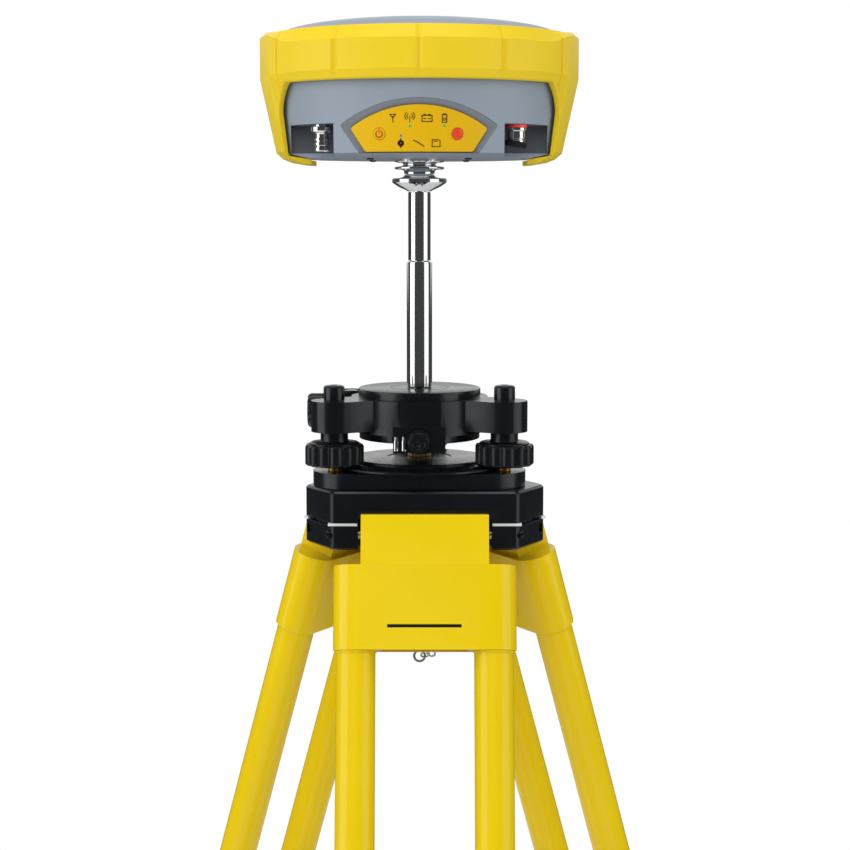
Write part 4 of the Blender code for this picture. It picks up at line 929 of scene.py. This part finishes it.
def tribrach_details():
    """Spring plate and its hub, circular level, eyepiece, clamp knob, plummet pins and brass bush."""
    low, high = local("spring_plate")
    edge = width("spring_plate") / 2.0 / MM
    profile = above(low, ((20.0, 0.0), (edge - 0.4, 0.0), (edge, 0.4), (edge, 1.5), (edge - 0.6, 1.9),
                          (42.3, 2.3), (41.5, 2.8), (41.5, 4.0), (40.8, 4.5)))
    profile += above(high, ((22.0, 0.0), (20.0, 0.0)))
    piece("spring_disc", lathe(profile, 128, ring=True), "black_casting", "head", at_axis(),
          replaces=("spring_plate",))

    middle, bottom, top = centred("circular_level")
    place = Matrix.Translation(middle)
    edge = width("circular_level") / 2.0 / MM
    cup = above(bottom, ((0.0, 0.0), (edge - 0.3, 0.0), (edge, 0.3)))
    cup += above(top, ((edge, -1.0), (edge - 1.0, 0.0), (6.2, 0.0), (6.0, -1.2), (0.0, -1.2)))
    piece("level_cup", lathe(cup, 64), "black_plastic", "head", place, replaces=("circular_level",))
    vial = above(top, ((0.0, -0.1), (3.0, -0.2), (5.6, -0.7), (5.6, -1.1), (0.0, -1.1)))
    piece("level_vial", lathe(vial, 64), "black_plastic", "head", place, material="level_glass")

    low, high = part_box("plummet_eyepiece")
    middle = (low + high) / 2.0
    front = middle.y - low.y
    place = Matrix.Translation(middle) @ ALONG_FRONT
    edge = width("plummet_eyepiece") / 2.0 / MM
    shell = above(front, ((0.0, -2.1), (2.7, -2.1), (3.6, -0.3), (4.0, 0.0), (5.6, 0.0), (6.1, -0.4)))
    for i in range(7):
        shell += above(front - (3.2 + 0.95 * i) * MM, ((edge, 0.3), (edge, 0.0), (edge - 0.35, -0.25)))
    shell += above(-front, ((edge, 0.5), (edge - 0.4, 0.0), (0.0, 0.0)))
    piece("eyepiece_shell", lathe(shell, 64), "black_plastic", "eyepiece", place,
          replaces=("plummet_eyepiece",))
    lens = above(front, ((0.0, -1.4), (1.6, -1.6), (3.0, -1.9), (3.0, -2.0), (0.0, -2.0)))
    piece("eyepiece_lens", lathe(lens, 48), "black_plastic", "eyepiece", place, material="lens_glass")

    low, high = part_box("locking_knob")
    middle = (low + high) / 2.0
    reach = (high.x - low.x) / 2.0
    outline = scalloped((high.y - low.y) / 2.0, 0.9 * MM, 8, 12)
    levels = [(0.86, -reach), (0.97, -reach + 1.2 * MM), (1.0, -reach + 2.4 * MM), (1.0, reach - 2.6 * MM),
              (0.9, reach - 0.8 * MM), (0.8, reach)]
    piece("lock_grip", stacked(outline, levels), "black_plastic", "locking_knob_body",
          Matrix.Translation(middle) @ ALONG_X, bevel=0.3 * MM, angle=25.0, replaces=("locking_knob",))

    pin = above(0.0, ((0.0, 23.4), (1.2, 23.4), (1.5, 23.8), (1.5, 30.4), (1.1, 30.8), (1.1, 32.4),
                      (0.0, 32.4)))
    for i, x in enumerate(PIN_PLACES):
        piece(f"plummet_pin_{i + 1}", lathe(pin, 32), "chrome", "head", at_axis(x=x, y=PIN_FORWARD))
    top = local("spring_plate")[1]
    levels = [(0.92, top), (1.0, top + 0.5 * MM), (1.0, top + 2.2 * MM), (0.9, top + 2.9 * MM)]
    bush = stacked(scalloped(7.4 * MM, 0.7 * MM, 16, 8), levels)
    piece("centre_bush", bush, "brass", "head", at_axis(), bevel=0.15 * MM)
    hub = lathe(above(top, ((0.0, -2.0), (20.5, -2.0), (20.5, -0.5), (12.0, 0.1), (0.0, 0.1))), 64)
    piece("spring_hub", hub, "black_casting", "head", at_axis())


WIRE = 0.75 * MM        # half the link wire's thickness


def hook_link():
    """A short swivel link that hangs beside the plumb line's ring."""
    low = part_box("centring_screw")[0]
    ring = circle(WIRE, 14, (2.6 * MM, 0.0))
    for i, (x, z, tilt) in enumerate(((3.6 * MM, 5.6 * MM, 25.0), (7.4 * MM, 6.2 * MM, -20.0))):
        place = Matrix.Translation((AXIS.x + x, AXIS.y - 0.6 * MM, low.z + z)) @ ALONG_FRONT
        place = place @ Matrix.Rotation(math.radians(tilt), 4, "Z") @ Matrix.Scale(0.72, 4, (0.0, 1.0, 0.0))
        piece(f"hook_link_{i + 1}", lathe(ring, 32, ring=True), "steel", body_of("centring_screw"), place)


def head_gap_strips():
    """Pale strips in the gap between the head's two flanges."""
    low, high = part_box("tripod_head")
    pivot = Vector(((low.x + high.x) / 2.0, AXIS.y, high.z))
    for i, turn in enumerate((0.0, 120.0, -120.0)):
        place = Matrix.Translation(pivot) @ Matrix.Rotation(math.radians(turn), 4, "Z")
        for side, word in ((-1.0, "left"), (1.0, "right")):
            near, far = sorted((side * 41.2, side * 59.0))
            strip = block((near, -53.0, -21.2), (far, -50.0, -19.6))
            piece(f"head_gap_strip_{word}_{i + 1}", strip, "black_casting", "head", place, material="pale_gap_strip")


# ---- tripod ----------------------------------------------------------------------------
def leg_frame(i):
    """The leaning leg's frame: X along the hinge pin, -Y outwards, -Z down the leg."""
    hinge = JOINTS[f"leg_{i}_hinge"]
    across = -Vector(hinge["axis"]).normalized()
    up = -Vector(JOINTS[f"leg_{i}_slide"]["axis"]).normalized()
    axes = Matrix((across, up.cross(across), up)).transposed().to_4x4()
    return Matrix.Translation(Vector(hinge["pos_m"])) @ axes


LEG_FRONT = 13.8        # millimetres: the leg parts' front face, ahead of the tubes' middle
TUBE_SIDE = 41.7 * MM
CLAMP_DOWN = -727.0 * MM
SHOE_FRONT = 12.9 * MM


def leg_details(i):
    """A dark strip painted as shade in the slot, clamp bolts, tube collars, clamp washer, shoe plate and
    rivets of one leg.
    """
    place = leg_frame(i)
    body = f"leg_{i}"
    upright = Matrix(((1, 0, 0, 0), (0, 0, -1, 0), (0, 1, 0, 0), (0, 0, 0, 1)))
    # a black strip in the bracket's slot: painted shade for the slot's dark inside
    shade_sheet = block((-22.4, -57.3, LEG_FRONT - 2.6), (21.9, -55.5, LEG_FRONT - 1.2))
    piece(f"slot_shade_strip_{i}", shade_sheet, "tripod_yellow_paint", body, place @ upright, material="black_rubber")

    collar = above(0.0, ((12.0, -72.0), (12.3, -71.9), (12.6, -71.4), (12.6, -70.6), (12.0, -70.6)))
    for side, word in ((-TUBE_SIDE, "left"), (TUBE_SIDE, "right")):
        piece(f"tube_collar_{word}_{i}", lathe(collar, 48, ring=True), "tripod_yellow_paint", body,
              place @ Matrix.Translation((side, 0.0, 0.0)))
        bolt_place = place @ Matrix.Translation((side, -LEG_FRONT * MM, CLAMP_DOWN)) @ ALONG_FRONT
        screw_head(f"clamp_bolt_{word}_{i}", bolt_place, 4.0 * MM, "steel", body)

    washer = above(LEG_FRONT * MM, ((4.6, 0.04), (11.0, 0.04), (11.3, 0.14), (11.0, 0.26), (4.6, 0.26)))
    piece(f"clamp_washer_{i}", lathe(washer, 48, ring=True), "steel", body,
          place @ Matrix.Translation((0.0, 0.0, CLAMP_DOWN)) @ ALONG_FRONT)
    extension = f"leg_extension_{i}"
    plate = prism(rounded_box(14.0 * MM, 20.0 * MM, 3.0 * MM), 12.05 * MM, SHOE_FRONT)
    piece(f"shoe_plate_{i}", plate, "steel", extension,
          place @ Matrix.Translation((0.0, 0.0, -1062.0 * MM)) @ upright, bevel=0.3 * MM)
    for down in (1050, 1074):
        spot = place @ Matrix.Translation((0.0, -SHOE_FRONT, -down * MM)) @ ALONG_FRONT
        screw_head(f"shoe_rivet_{i}_{down}", spot, 3.0 * MM, "steel", extension, recess=False)


# how far each kept node's edges are rounded, in millimetres
HEAD_BEVELS = {"tripod_head": 1.2, "centring_screw": 0.6}
LEG_BEVELS = {"leg_bracket": 1.3, "hinge_pin": 0.4, "leg_tube_left": 0.3, "leg_tube_right": 0.3,
              "leg_clamp": 1.2, "clamp_screw": 0.8, "extension_leg": 0.8, "foot": 1.0}
OTHER_BEVELS = {"tribrach_base_plate": 0.9, "tribrach_body": 0.9, "battery_door": 0.4,
                "battery_door_latch": 0.2, "battery_pack": 1.0, "main_board": 0.1, "antenna_element": 0.4,
                "thread_insert": 0.3, "housing_seal": 0.1}


def kept_nodes(bevels, ending=""):
    """Nodes that keep their own shape, with rounded edges and their finish."""
    for node, bevel in bevels.items():
        refined(node + ending, bevel * MM)


def tripod():
    kept_nodes(HEAD_BEVELS)
    for i in (1, 2, 3):
        kept_nodes(LEG_BEVELS, f"_{i}")
        leg_details(i)


# ---- stage ---------------------------------------------------------------------------------
SURROUND = 0.45         # how brightly the white surround lights matt surfaces
MIRRORED = 0.055        # and how brightly it shows in polished ones
BACKDROP_SIDE = (0.35, 0.8)     # where reflections see the backdrop: a direction's Y and Z
BACKDROP_RISE = (0.0, 0.08)
FLOOR_RADIUS = 2.2


def area_light(name, place, target, size, power, mirrored=True):
    data = bpy.data.lights.new(name, "AREA")
    data.shape = "RECTANGLE"
    data.size = size[0]
    data.size_y = size[1]
    data.energy = power
    lamp = bpy.data.objects.new(name, data)
    lamp.location = AXIS + Vector(place)
    lamp.visible_glossy = mirrored
    aim = AXIS + Vector(target) - lamp.location
    lamp.rotation_euler = aim.to_track_quat("-Z", "Y").to_euler()
    bpy.context.scene.collection.objects.link(lamp)


def math_node(tree, operation, *values):
    """A Math node's result; each of its inputs is a socket or a number."""
    node = tree.nodes.new("ShaderNodeMath")
    node.operation = operation
    for slot, value in zip(node.inputs, values):
        if isinstance(value, float):
            slot.default_value = value
        else:
            tree.links.new(value, slot)
    return node.outputs["Value"]


def rising(tree, value, ends):
    """Nothing at the first end, one at the second."""
    node = tree.nodes.new("ShaderNodeMapRange")
    node.inputs["From Min"].default_value, node.inputs["From Max"].default_value = ends
    tree.links.new(value, node.inputs["Value"])
    return node.outputs["Result"]


def make_world():
    """A white surround that lights softly and reflects dimly, but for a bright backdrop."""
    world = bpy.data.worlds.new("studio")
    world.use_nodes = True
    tree = world.node_tree
    background = tree.nodes["Background"]
    background.inputs["Color"].default_value = (1.0, 1.0, 1.0, 1.0)
    rays = tree.nodes.new("ShaderNodeLightPath").outputs
    seen = math_node(tree, "MULTIPLY_ADD", rays["Is Camera Ray"], 1.0 - SURROUND, SURROUND)
    mirrored = math_node(tree, "MULTIPLY_ADD", rays["Is Glossy Ray"], MIRRORED - SURROUND, seen)
    direction = tree.nodes.new("ShaderNodeTexCoord")
    split = tree.nodes.new("ShaderNodeSeparateXYZ")
    tree.links.new(direction.outputs["Generated"], split.inputs["Vector"])
    behind = rising(tree, split.outputs["Y"], BACKDROP_SIDE)
    raised = rising(tree, split.outputs["Z"], BACKDROP_RISE)
    total = math_node(tree, "MAXIMUM", mirrored, math_node(tree, "MULTIPLY", behind, raised))
    tree.links.new(total, background.inputs["Strength"])
    bpy.context.scene.world = world


def stage():
    """The surround, a pale floor and large soft lamps."""
    make_world()
    disc = prism(circle(FLOOR_RADIUS, 128), -0.01, 0.0)
    mesh = bpy.data.meshes.new("floor")
    disc.to_mesh(mesh)
    disc.free()
    floor = bpy.data.objects.new("floor", mesh)
    bpy.context.scene.collection.objects.link(floor)
    mesh.materials.append(surface("floor_pale", (0.86, 0.86, 0.86), 0.7, mottle=0.01, bump=0.02))

    area_light("key", (-1.9, -0.75, 0.5), (0.0, 0.0, 0.05), (1.7, 1.9), 19.0)
    area_light("fill", (1.9, -0.75, 0.4), (0.0, 0.0, 0.05), (1.7, 1.9), 13.0)
    area_light("front", (-0.3, -2.0, 1.0), (0.0, 0.0, 0.0), (1.2, 1.2), 14.0, mirrored=False)
    area_light("top", (0.0, -0.2, 1.6), (0.0, 0.0, 0.0), (1.2, 1.2), 10.0)


stage()
bumper()
dome()
keypad()
icons()
keypad_surround()
housing()
connectors()
back_details()
underside_screws()
pole()
foot_screws()
tribrach_details()
head_gap_strips()
hook_link()
kept_nodes(OTHER_BEVELS)
tripod()
